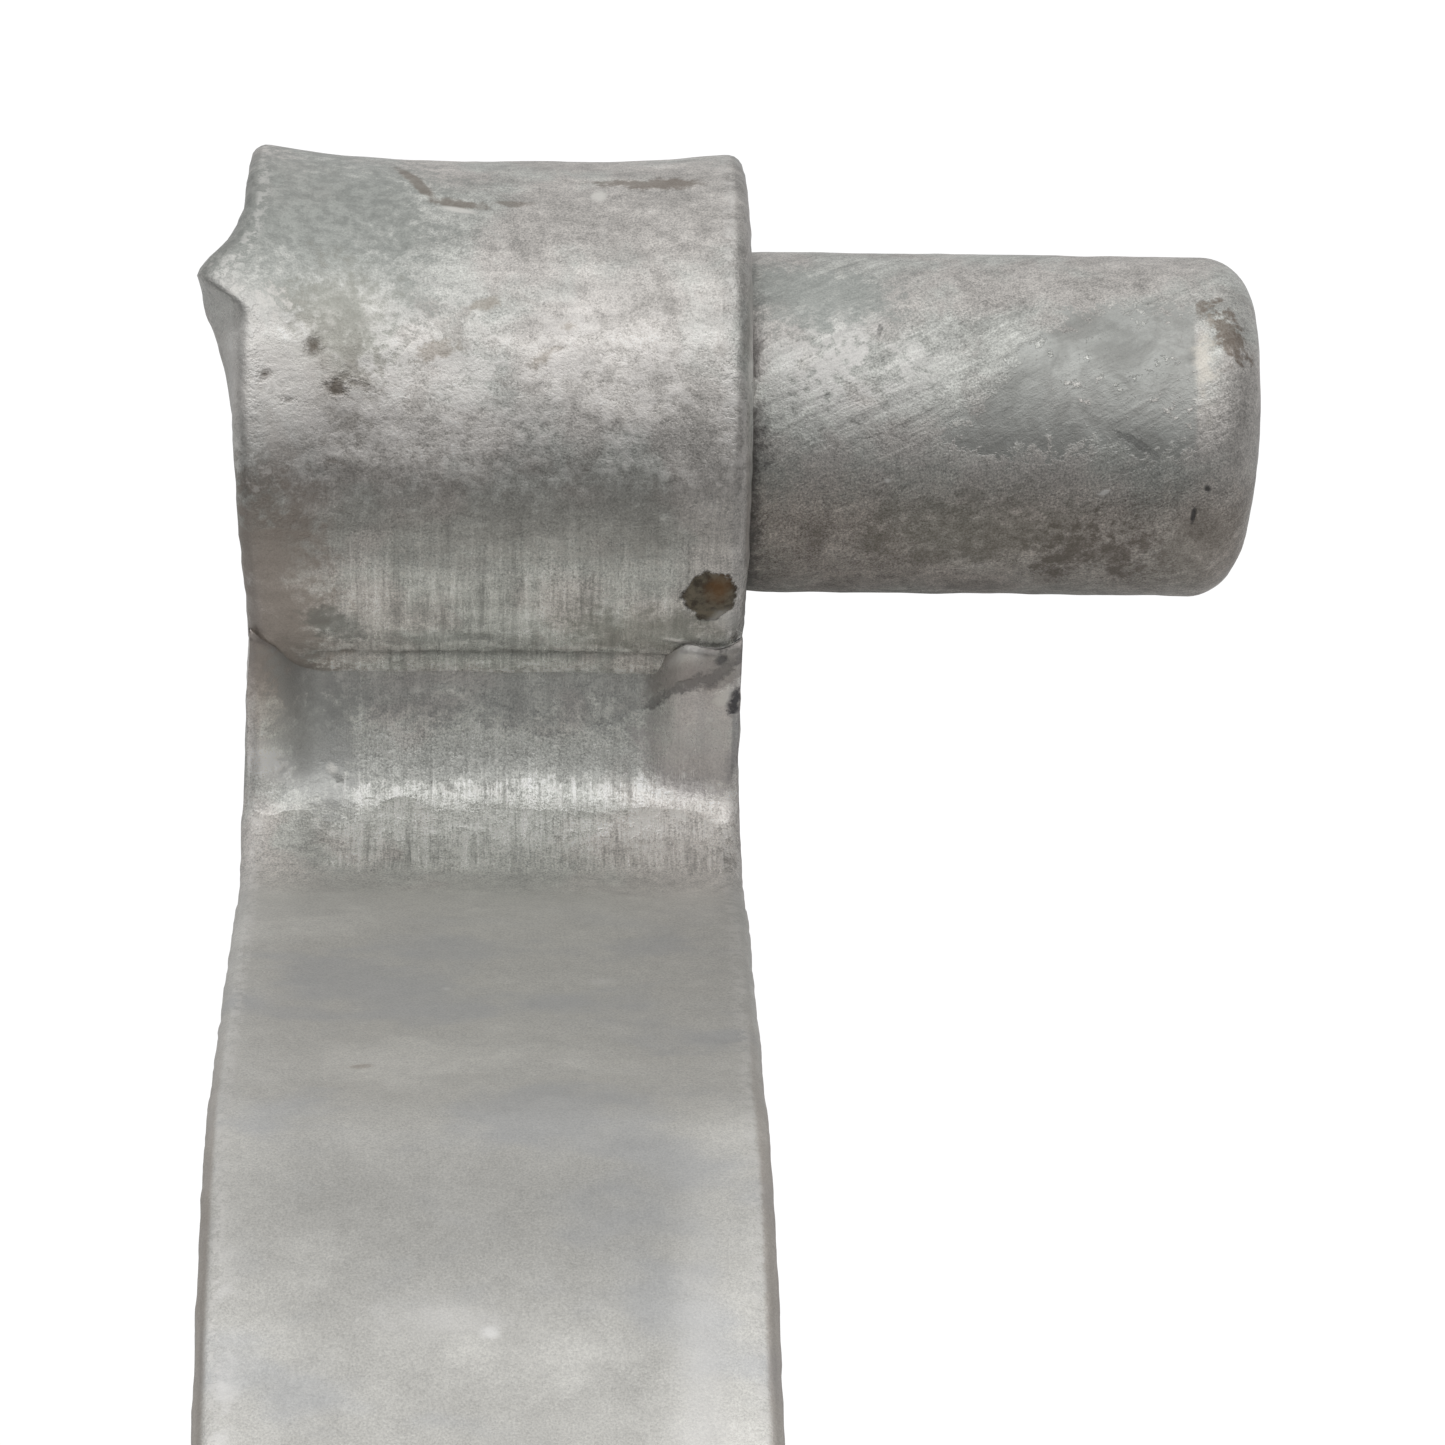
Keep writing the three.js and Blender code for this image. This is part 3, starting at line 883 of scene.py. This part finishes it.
    # pits
    p1 = g.blob((20.2, -10.55), (0.38, 0.42), 0.0, 0.55, 0.85)
    p2 = g.blob((18.8, -13.1), (0.26, 0.34), 0.0, 0.5, 0.80)
    p3 = g.mx(g.blob((18.25, -9.1), (0.34, 0.60), 0.3, 0.5, 0.60), g.mul(g.blob((18.5, -8.0), (0.16, 0.9), 0.35, 0.8, 0.8), 0.6))
    p4 = g.mul(g.blob((17.6, -11.75), (0.18, 0.34), 0.3, 0.9, 0.80), 0.7)
    pits = g.mul(g.mx(p1, p2, p3, p4), on_eye)
    halo = g.mul(on_eye, g.blob((19.2, -10.2), (2.0, 3.6), 0.5, 0.8, 0.6))
    col = g.shade(col, halo, 0.22, (0.36, 0.32, 0.27))
    col = g.shade(col, pits, 0.86, (0.135, 0.110, 0.085))
    height = g.mt("MULTIPLY_ADD", pits, -0.05, height)
    # painted highlight: a bright patch beside the pits
    glare = g.mul(on_eye, g.mx(g.blob((19.2, -13.5), (3.4, 1.2), 0.0, 0.9, 0.35), g.blob((18.0, -12.3), (2.2, 1.8), 0.4, 0.8, 0.6)), g.inv(pits))
    col = g.shade(col, glare, 0.62, (0.98, 0.95, 0.91))
    # small brown marks among the curds
    b1 = g.mx(g.blob((21.4, 4.2), (0.24, 0.50), 0.0, 0.8, 0.6), g.blob((19.9, 2.9), (0.26, 0.75), -0.5, 0.8, 0.6))
    b2 = g.mx(g.blob((22.5, -0.75), (0.24, 0.75), -0.2, 0.9, 0.6), g.blob((20.1, -3.5), (0.40, 1.10), -0.1, 0.9, 0.6))
    col = g.shade(col, g.mul(g.mx(b1, b2), on_eye), 0.50, (0.42, 0.365, 0.30))
    # the rust pit near the right-hand end of the seam
    rim = g.mul(on_eye, g.blob((7.85, 12.8), (1.52, 1.50), 0.6, 0.13, 0.06))
    core = g.mul(on_eye, g.blob((8.3, 13.3), (0.75, 0.62), 0.3, 0.35, 0.75))
    rusty = g.mix(g.rng(g.curd, -0.16, 0.12), (0.10, 0.082, 0.062), (0.27, 0.235, 0.175))
    rusty = g.shade(rusty, core, 0.70, (0.26, 0.135, 0.05))
    col = g.mix(rim, col, rusty)
    rough = g.mixf(rim, rough, 0.60)
    height = g.mt("MULTIPLY_ADD", rim, -0.16, height)
    # the weld's raised lip on the eye, and a spot beside the rust pit: bumped up, their brightness a painted highlight
    painted_lip_glint = g.mul(on_eye, g.mx(g.blob((4.3, 11.1), (0.20, 1.0), 0.2, 0.3, 0.5), g.mul(g.blob((6.2, 13.7), (0.6, 0.7), 0.6, 0.4, 0.5), 0.6)))
    col = g.shade(col, painted_lip_glint, 0.70, (0.93, 0.91, 0.87))
    height = g.mt("MULTIPLY_ADD", painted_lip_glint, 0.06, height)
    # small marks on the slope and the blade
    m1 = g.blob((121.5, -6.8), (0.26, 0.62), 0.1, 0.5, 0.7)
    m2 = g.blob((110.8, -2.4), (0.20, 0.20), 0.0, 0.2, 0.9)
    m3 = g.blob((109.7, 6.2), (0.40, 0.55), 0.0, 0.6, 0.9)
    m4 = g.blob((141.6, 0.1), (0.34, 0.44), 0.0, 0.3, 0.7)
    col = g.shade(col, g.mul(m1, front), 0.45, (0.33, 0.27, 0.22))
    col = g.shade(col, g.mul(g.mx(m2, m4, g.mul(m3, 0.45)), front), 0.75, (0.93, 0.92, 0.90))
    # broad tints of the blade
    tn = g.noise(g.xyz(g.mul(g.u, 0.13), g.mul(g.v, 0.07), 4.0), 1.0, 3.0, 0.6)
    col = g.shade(col, g.mul(front, g.rng(tn, 0.50, 0.64), g.rng(g.u, 96.0, 106.0)), 0.34, (0.49, 0.51, 0.55))
    col = g.bright(col, g.add(1.0, g.mul(front, g.rng(tn, 0.46, 0.34), 0.13)))
    # painted light: darker through the second bend, lighter where it levels onto the blade and towards its sides, most
    # at the right
    along = g.mt("MULTIPLY_ADD", g.rng(g.u, 127.5, 134.0), -0.17, 1.04)
    along = g.mt("MULTIPLY_ADD", g.rng(g.u, 134.0, 148.0), 0.20, along)
    along = g.mt("MULTIPLY_ADD", g.mul(g.rng(g.mt("ABSOLUTE", g.v), 8.0, 14.0), g.rng(g.u, 118.0, 135.0)), 0.16, along)
    along = g.mt("MULTIPLY_ADD", g.mul(g.rng(g.v, 7.0, 13.5), g.rng(g.u, 122.0, 136.0)), 0.13, along)
    col = g.bright(col, g.mixf(front, 1.0, along))
    # along the blade: brown in the rounded corners, bright zinc beads inside the left one, a pale run near the right
    av = g.mt("ABSOLUTE", g.v)
    corner = g.mul(g.rng(g.mt("MULTIPLY_ADD", g.rng(g.v, -1.0, 1.0), 0.22, av), 13.95, 14.30), g.rng(g.w, 0.4, 1.4), g.rng(g.u, 108.0, 134.0))
    col = g.shade(col, corner, 0.46, (0.37, 0.30, 0.25))
    knots = g.noise(g.xyz(g.mul(g.u, 0.50), g.mul(g.v, 0.40), 9.0), 1.0, 3.0, 0.65)
    beads = g.mul(g.rng(g.mt("MULTIPLY_ADD", knots, -2.2, g.v), -13.0, -14.6), g.rng(g.v, -14.0, -13.3), g.rng(g.u, 132.0, 144.0), g.rng(knots, 0.43, 0.60), front)
    run = g.mul(g.blob((151.0, 10.5), (13.0, 1.1), 0.0, 0.35, 0.9), front)
    wisp = g.mul(g.blob((140.9, -2.2), (0.9, 2.6), 0.0, 0.7, 0.95), front)
    col = g.shade(col, g.mx(beads, g.mul(run, 0.66), g.mul(wisp, 0.50)), 0.60, (0.97, 0.955, 0.935))
    # the eye's sides are darkened: painted shade where they face away from the light
    painted_flank_shade = g.mul(g.rng(g.mt("ABSOLUTE", g.v), 13.85, 14.25), g.rng(g.u, 66.0, 62.0))
    col = g.bright(col, g.mt("MULTIPLY_ADD", painted_flank_shade, -0.22, 1.0))
    # zinc beads along the edges
    rimz = g.mul(g.rng(g.mt("ABSOLUTE", g.v), 13.1, 13.6), g.rng(g.mt("ABSOLUTE", g.v), 14.2, 13.9), g.rng(g.curd, -0.05, 0.05), g.rng(g.u, 14.0, 17.0))
    col = g.shade(col, rimz, 0.45, (0.86, 0.84, 0.81))
    height = g.mt("MULTIPLY_ADD", rimz, 0.012, height)
    return g.done(col, rough, height)


def weld_material():
    g = Graph("zinc_weld")
    col, rough, height = skin(g, grain=1.05)
    lines, cut = streaks(g)
    vw = g.mt("MULTIPLY_ADD", g.rag, 3.0, g.v)
    ground = g.mul(g.rng(vw, -10.2, -8.2), g.rng(vw, 13.4, 11.6, 0.25, 1.0), g.rng(g.w, 8.0, 7.0))
    ur = g.mt("MULTIPLY_ADD", g.rag, 4.0, g.u)
    # scratched by the grinding only towards the toe; above, the bead keeps its grain
    reach = g.rng(ur, 80.0, 83.5, 0.50, 1.0)
    lg = g.mul(lines, ground, reach)
    col = g.bright(col, g.mt("MULTIPLY_ADD", lg, 1.25, 1.30))
    col = g.bright(col, g.mt("MULTIPLY_ADD", g.mul(g.sand, ground), 0.45, 1.0))
    rough = g.mt("MULTIPLY_ADD", ground, -0.05, g.mt("MULTIPLY_ADD", lg, -0.32, rough))
    height = g.mt("MULTIPLY_ADD", cut, g.mul(ground, reach, 1.2), height)
    glint = g.mul(ground, g.rng(g.mt("MULTIPLY_ADD", g.curd, 1.0, g.mul(g.sand, 0.9)), 0.13, 0.20))
    col = g.shade(col, glint, 0.60, (0.95, 0.93, 0.89))
    # painted shade: darker, bluish under the edge and again above the toe
    col = g.bright(col, g.mt("MULTIPLY_ADD", g.mul(g.rng(ur, 82.9, 82.2), g.rng(ur, 80.4, 81.6)), -0.20, 1.0))
    under = g.mul(g.rng(ur, 80.6, 79.0), g.rng(g.v, 10.5, 8.5))
    col = g.shade(col, under, 0.52, (0.30, 0.305, 0.315))
    # painted highlight: a bright band with white flecks above the toe
    jag = g.mt("MULTIPLY_ADD", lines, 1.6, ur)             # the band's edges run out in scratches
    jag = g.add(jag, g.rng(g.v, -9.0, -12.0, 0.0, 0.75), g.rng(g.v, 8.0, 11.0, 0.0, 0.50))
    toe = g.mul(g.rng(jag, 82.5, 83.05), g.rng(jag, 85.0, 83.6), ground)
    col = g.bright(col, g.mt("MULTIPLY_ADD", toe, 0.16, 1.0))
    rough = g.mt("MULTIPLY_ADD", toe, -0.08, rough)
    painted_highlight_flecks = g.rng(g.mt("MULTIPLY_ADD", lines, 0.8, g.mt("MULTIPLY_ADD", g.sand, 0.4, g.curd)), -0.02, 0.14)
    col = g.shade(col, g.mul(toe, painted_highlight_flecks), 0.68, (0.97, 0.96, 0.93))
    # painted highlight: a bright patch at the left of the toe
    gleam = g.blob((82.8, -12.6), (0.95, 1.5), 0.0, 0.6, 0.6)
    col = g.shade(col, gleam, 0.80, (0.96, 0.94, 0.91))
    haze = g.mul(g.rng(vw, -10.4, -12.6), g.rng(ur, 82.6, 79.6))
    col = g.shade(col, haze, 0.74, (0.375, 0.318, 0.280))
    col = g.bright(col, g.mt("MULTIPLY_ADD", g.mul(g.rng(g.v, -10.4, -12.4), g.rng(ur, 79.0, 81.0), g.rng(g.u, 84.2, 83.2)), 0.18, 1.0))
    calmed = g.blob((81.4, -10.6), (4.2, 2.4), 0.0, 0.45, 0.40)
    col = g.shade(col, calmed, 0.68, g.mix(g.rng(g.u, 79.0, 82.0), (0.46, 0.465, 0.455), (0.60, 0.605, 0.59)))
    rosy = g.blob((80.9, 11.9), (2.4, 2.9), 0.0, 0.5, 0.40)
    col = g.shade(col, rosy, 0.55, (0.72, 0.68, 0.67))
    u1 = g.mt("MULTIPLY_ADD", g.rag, 0.9, g.u)
    lump = g.mul(g.rng(g.v, 8.3, 9.6), g.rng(u1, 79.40, 79.10), g.rng(g.w, 8.0, 7.0))
    col = g.shade(col, lump, 0.68, (0.40, 0.36, 0.34))
    # the lump that laps onto the eye: lit lip as painted highlight, painted shadow in the groove under it, and a hole
    # at its end painted dark as shade
    lip = g.mul(g.rng(g.u, 78.85, 78.55), g.rng(g.v, 9.8, 10.6), g.rng(g.v, 12.4, 11.6))
    col = g.shade(col, lip, 0.60, (0.95, 0.93, 0.89))
    hole_shade = g.blob((78.60, 13.2), (0.14, 0.34), 0.0, 0.5, 0.6)
    painted_lip_shadow = g.mul(g.rng(g.mt("ABSOLUTE", g.sub(g.mt("MULTIPLY_ADD", g.v, 0.13, u1), 80.62)), 0.20, 0.04), g.rng(g.v, 7.6, 9.6), g.rng(g.w, 8.0, 7.0))
    col = g.shade(col, painted_lip_shadow, 0.60, (0.19, 0.18, 0.18))
    col = g.shade(col, hole_shade, 0.80, (0.10, 0.10, 0.105))
    # painted shade in the crack and along the right-hand edge
    crack_shade = g.blob((79.80, 14.0), (0.28, 0.30), 0.0, 0.6, 0.5)
    edge = g.mul(g.rng(g.v, 13.86, 14.0), g.rng(g.u, 83.0, 82.0), g.rng(g.u, 79.7, 80.2))
    col = g.shade(col, edge, 0.40, (0.16, 0.165, 0.18))
    col = g.shade(col, crack_shade, 0.88, (0.05, 0.05, 0.06))
    # painted highlights on small bumps, and painted shadow below the one at the left
    painted_bump_glint = g.mx(g.blob((79.55, 13.30), (0.20, 0.40), 0.3, 0.6, 0.5), g.blob((82.0, -9.55), (0.20, 0.28), 0.0, 1.0, 0.8))
    col = g.shade(col, painted_bump_glint, 0.70, (0.95, 0.93, 0.88))
    p1 = g.blob((82.4, -9.2), (0.20, 0.36), 0.0, 1.0, 0.7)
    col = g.shade(col, p1, 0.45, (0.17, 0.17, 0.16))
    height = g.add(height, g.mul(p1, -0.03), g.mul(g.mx(crack_shade, hole_shade, g.mul(painted_lip_shadow, 0.6)), -0.10), g.mul(painted_bump_glint, 0.03))
    return g.done(col, rough, height)


def pin_material():
    g = Graph("zinc_pin")
    sp = g.t.nodes.new("ShaderNodeSeparateXYZ")
    g.put(sp.inputs[0], g.pos)
    g.v = g.mt("FLOORED_MODULO", g.mul(g.mt("ARCTAN2", sp.outputs[2], sp.outputs[1]), PIN_R), 2 * math.pi * PIN_R)
    col, rough, height = skin(g, grain=1.1)
    # brush marks, slanting round the bar
    k, s = math.cos(math.radians(60)), math.sin(math.radians(60))
    along = g.mt("MULTIPLY_ADD", g.u, k, g.mul(g.v, -s))
    across = g.mt("MULTIPLY_ADD", g.u, s, g.mul(g.v, k))
    across = g.mt("MULTIPLY_ADD", g.mul(g.v, g.v), 0.028, across)          # the strokes bend
    across = g.mt("MULTIPLY_ADD", g.cloud, 1.6, across)
    b1 = g.sub(g.noise(g.xyz(g.mul(across, 0.85), g.mul(along, 0.11), 2.0), 1.0, 3.0, 0.65), 0.5)
    b2 = g.sub(g.noise(g.xyz(g.mul(across, 4.2), g.mul(along, 0.35), 6.0), 1.0, 2.0, 0.7), 0.5)
    # they fade out at the end faces and where the pattern meets itself at the back
    shank = g.mul(g.rng(g.w, 7.0, 9.4), g.rng(g.v, 0.5, 7.0), g.rng(g.v, 62.3, 55.0))
    brush = g.mul(g.mt("MULTIPLY_ADD", b2, 0.75, b1), shank)
    where = g.rng(g.big, 0.40, 0.56, 0.35, 1.0)
    col = g.bright(col, g.mt("MULTIPLY_ADD", g.mul(brush, where), 1.05, 1.0))
    rough = g.mt("MULTIPLY_ADD", brush, -0.22, rough)
    height = g.mt("MULTIPLY_ADD", g.mul(b1, shank), 0.05, height)
    # frosty zone beside the eye
    frost = g.mul(g.blob((44.6, 19.2), (5.4, 3.6), 0.0, 0.5, 0.55))
    crust = g.rng(g.mt("MULTIPLY_ADD", g.curd, 1.0, g.cloud), -0.08, 0.10)
    col = g.mix(g.mul(frost, crust, 0.60), col, (0.88, 0.85, 0.83))
    # cool dull films: above the frost, and the large smooth one towards the end
    f1 = g.blob((42.6, 14.2), (4.6, 2.4), 0.1, 0.6, 0.45)
    col = g.shade(col, f1, 0.55, (0.48, 0.51, 0.485))
    w = g.mul(g.rag, 9.0)
    slant = g.add(g.mt("MULTIPLY_ADD", g.v, 0.93, g.u), w)          # the film's upper left edge runs slantwise
    vv = g.add(g.v, w)
    f2 = g.mul(g.rng(slant, 71.6, 72.3), g.rng(vv, 14.8, 15.8), g.rng(vv, 24.4, 23.7), g.rng(g.u, 65.2, 64.7))
    f2 = g.mul(f2, g.rng(g.mt("MULTIPLY_ADD", g.cloud, 0.6, g.curd), 0.165, 0.12))
    film = g.mix(g.rng(g.cloud, -0.12, 0.12), (0.41, 0.415, 0.395), (0.56, 0.57, 0.545))
    col = g.shade(col, f2, 0.86, film)
    rough = g.mt("MULTIPLY_ADD", f2, 0.06, rough)
    height = g.mt("MULTIPLY_ADD", f2, -0.02, height)
    # browned under side
    low = g.mul(g.rng(g.add(g.v, g.mul(w, 0.7)), 24.0, 29.0), g.rng(g.v, 38.5, 33.0, 0.35, 1.0), g.rng(g.v, 61.0, 51.0), g.rng(g.w, 5.0, 9.4))
    col = g.shade(col, low, 0.72, g.mix(g.rng(g.cloud, -0.12, 0.12), (0.215, 0.178, 0.148), (0.335, 0.288, 0.250)))
    col = g.bright(col, g.mt("MULTIPLY_ADD", g.mul(low, g.mt("MULTIPLY_ADD", g.sand, 1.3, g.mul(g.curd, 0.7))), 1.5, 1.0))
    o1 = g.blob((53.0, 29.4), (5.5, 2.2), 0.0, 0.9, 0.65)
    o2 = g.blob((60.0, 31.0), (3.0, 1.7), 0.1, 1.1, 0.70)
    o3 = g.blob((65.5, 30.5), (2.4, 3.2), 0.2, 0.6, 0.50)
    col = g.shade(col, o1, 0.42, (0.24, 0.23, 0.185))
    col = g.shade(col, g.mul(o2, g.rng(g.curd, 0.10, -0.10, 0.45, 1.0)), 0.62, (0.15, 0.125, 0.10))
    col = g.shade(col, o3, 0.40, (0.30, 0.27, 0.23))
    # brown freckles, and a bright strip at the end's corner that is a painted highlight
    e1 = g.blob((67.0, 17.0), (0.8, 1.5), -0.4, 1.1, 0.45)
    e2 = g.blob((65.4, 15.2), (0.35, 0.5), 0.0, 0.8, 0.50)
    col = g.shade(col, g.mx(e1, e2), 0.62, (0.20, 0.14, 0.095))
    painted_corner_highlight = g.blob((65.45, 19.0), (0.50, 2.0), 0.05, 0.9, 0.80)
    col = g.shade(col, painted_corner_highlight, 0.62, (0.95, 0.90, 0.80))
    k1 = g.blob((65.1, 28.0), (0.16, 0.50), 0.1, 0.35, 0.45)
    k2 = g.blob((65.9, 26.3), (0.26, 0.24), 0.7, 0.35, 0.45)
    k3 = g.blob((46.5, 17.0), (0.13, 0.50), 0.2, 0.35, 0.45)
    k4 = g.blob((61.4, 23.7), (0.75, 0.18), 0.5, 0.9, 0.6)
    kk = g.mx(k1, k2, g.mul(k3, 0.5), g.mul(k4, 0.38))
    col = g.shade(col, kk, 0.85, (0.06, 0.06, 0.06))
    height = g.mt("MULTIPLY_ADD", kk, -0.06, height)
    sp = g.mx(g.blob((59.6, 26.6), (0.38, 0.14), -0.4, 0.4, 0.5), g.blob((47.0, 26.0), (0.16, 0.12), 0.0, 0.3, 0.6))
    col = g.shade(col, sp, 0.8, (0.95, 0.93, 0.9))
    # painted shade where the end's corner turns away from the light: darker and cool
    painted_corner_shade = g.mul(g.rng(g.u, 66.6, 68.2), g.rng(g.v, 17.5, 20.0), g.rng(g.v, 30.0, 26.0))
    col = g.bright(col, g.mt("MULTIPLY_ADD", painted_corner_shade, -0.22, 1.0))
    # painted shade in the groove beside the eye, where the pin goes in
    painted_gap_shade = g.mul(g.rng(g.mt("MULTIPLY_ADD", g.rag, 3.5, g.u), 40.1, 39.1, 0.0, 0.75), g.rng(g.v, 14.0, 20.0, 0.35, 1.0), g.rng(g.u, 30.0, 37.0), g.rng(g.v, 62.5, 56.0))
    col = g.mix(painted_gap_shade, col, (0.12, 0.11, 0.105))
    return g.done(col, rough, height)


strap.data.materials.append(strap_material())
pin.data.materials.append(pin_material())
weld.data.materials.append(weld_material())

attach(strap, "strap")
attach(weld, "strap")
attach(pin, "pin")
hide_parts("strap_leaf")
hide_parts("eye_seam_weld")
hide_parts("hinge_pin")

# ------------------------------------------------------------------ camera
F_PX, FRAME_PX = 5460.0, 1445.0
DIST = 325.0
el = math.radians(50)
c = Vector((0, -math.cos(el), math.sin(el)))
r0 = Vector((1, 0, 0))
u0 = Vector((0, math.sin(el), math.cos(el)))
axis_pt = Vector((XC + 0.3, 0, 0))
cam_pos = (axis_pt + c * DIST) * MM
dx, dy = 722.5 - 499.6, 722.5 - 421.0
fwd = (-c * F_PX + r0 * dx - u0 * dy).normalized()
right = fwd.cross(u0).normalized()
up = right.cross(fwd).normalized()
roll = math.radians(0.70)
right2 = right * math.cos(roll) + up * math.sin(roll)
up2 = up * math.cos(roll) - right * math.sin(roll)
m = Matrix((right2, up2, -fwd)).transposed().to_4x4()
m.translation = cam_pos
cam_data = bpy.data.cameras.new("cam")
cam = bpy.data.objects.new("cam", cam_data)
bpy.context.scene.collection.objects.link(cam)
cam.matrix_world = m
cam_data.sensor_width = 36
cam_data.lens = 36 * F_PX / FRAME_PX
cam_data.clip_start = 0.01
cam_data.clip_end = 20
bpy.context.scene.camera = cam

# ------------------------------------------------------------------ floor and light
low_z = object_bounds()[0][2]            # the hinge's lowest point rests on the floor
floor_me = bpy.data.meshes.new("floor")
S = 3.0
floor_me.from_pydata([(-S, -S, 0), (S, -S, 0), (S, S, 0), (-S, S, 0)], [], [(0, 1, 2, 3)])
floor = bpy.data.objects.new("floor", floor_me)
bpy.context.scene.collection.objects.link(floor)
floor.matrix_world = Matrix.Translation((XC * MM, 0, low_z - 0.0001))
fm = bpy.data.materials.new("floor_white")
fm.use_nodes = True
nt = fm.node_tree
nt.nodes.clear()
out = nt.nodes.new("ShaderNodeOutputMaterial")
lp = nt.nodes.new("ShaderNodeLightPath")
mix = nt.nodes.new("ShaderNodeMixShader")
dif = nt.nodes.new("ShaderNodeBsdfDiffuse")
dif.inputs["Color"].default_value = (0.8, 0.8, 0.8, 1)
emi = nt.nodes.new("ShaderNodeEmission")
emi.inputs["Color"].default_value = (1, 1, 1, 1)
emi.inputs["Strength"].default_value = 1.05
nt.links.new(lp.outputs["Is Camera Ray"], mix.inputs[0])
nt.links.new(dif.outputs[0], mix.inputs[1])
nt.links.new(emi.outputs[0], mix.inputs[2])
nt.links.new(mix.outputs[0], out.inputs["Surface"])
floor_me.materials.append(fm)


# A studio of one long soft overhead panel and pale walls: brightness by the angle round the pin's axis,
# from the near horizon (0) over the top (90) to the far horizon (180).
SKY = [0.01, 0.01, 0.30, 0.57, 0.93, 1.27, 1.20, 0.64, 0.54, 0.74]
SKY_AT = [0, 20, 40, 60, 80, 90, 110, 130, 150, 180]
world = bpy.data.worlds.new("studio")
bpy.context.scene.world = world
world.use_nodes = True
wt = world.node_tree
bg = wt.nodes["Background"]
tc = wt.nodes.new("ShaderNodeTexCoord")
sep = wt.nodes.new("ShaderNodeSeparateXYZ")
neg = wt.nodes.new("ShaderNodeMath"); neg.operation = "MULTIPLY"; neg.inputs[1].default_value = -1.0
at2 = wt.nodes.new("ShaderNodeMath"); at2.operation = "ARCTAN2"
div = wt.nodes.new("ShaderNodeMath"); div.operation = "DIVIDE"; div.inputs[1].default_value = math.pi
ramp = wt.nodes.new("ShaderNodeValToRGB")
wt.links.new(tc.outputs["Generated"], sep.inputs[0])
wt.links.new(sep.outputs["Y"], neg.inputs[0])
wt.links.new(sep.outputs["Z"], at2.inputs[0])
wt.links.new(neg.outputs[0], at2.inputs[1])
wt.links.new(at2.outputs[0], div.inputs[0])
wt.links.new(div.outputs[0], ramp.inputs[0])
# the panel has ends: it is darker towards both sides
side = wt.nodes.new("ShaderNodeMath"); side.operation = "ABSOLUTE"
fall = wt.nodes.new("ShaderNodeMapRange"); fall.interpolation_type = "SMOOTHSTEP"
for sock, val in zip(fall.inputs[1:5], (0.38, 0.92, 1.0, 0.34)):
    sock.default_value = val
dim = wt.nodes.new("ShaderNodeVectorMath"); dim.operation = "SCALE"
wt.links.new(sep.outputs["X"], side.inputs[0])
wt.links.new(side.outputs[0], fall.inputs[0])
wt.links.new(ramp.outputs[0], dim.inputs[0])
wt.links.new(fall.outputs[0], dim.inputs[3])
wt.links.new(dim.outputs[0], bg.inputs["Color"])
# the backdrop itself is plain white, like the floor
lp2 = wt.nodes.new("ShaderNodeLightPath")
plain = wt.nodes.new("ShaderNodeBackground")
plain.inputs["Color"].default_value = (1, 1, 1, 1)
plain.inputs["Strength"].default_value = 1.05
both = wt.nodes.new("ShaderNodeMixShader")
wt.links.new(lp2.outputs["Is Camera Ray"], both.inputs[0])
wt.links.new(bg.outputs[0], both.inputs[1])
wt.links.new(plain.outputs[0], both.inputs[2])
wt.links.new(both.outputs[0], wt.nodes["World Output"].inputs["Surface"])
cr = ramp.color_ramp
while len(cr.elements) > 1:
    cr.elements.remove(cr.elements[-1])
cr.elements[0].position = 0.0
peak = max(SKY)
for i, (a, b) in enumerate(zip(SKY_AT, SKY)):
    e = cr.elements[0] if i == 0 else cr.elements.new(a / 180.0)
    e.color = (b / peak, b / peak, b / peak, 1)
bg.inputs["Strength"].default_value = peak
world.cycles.sampling_method = "MANUAL"
world.cycles.sample_map_resolution = 512

sc = bpy.context.scene
sc.view_settings.view_transform = "Standard"
sc.view_settings.look = "None"
sc.view_settings.exposure = 0.0
sc.view_settings.gamma = 1.0
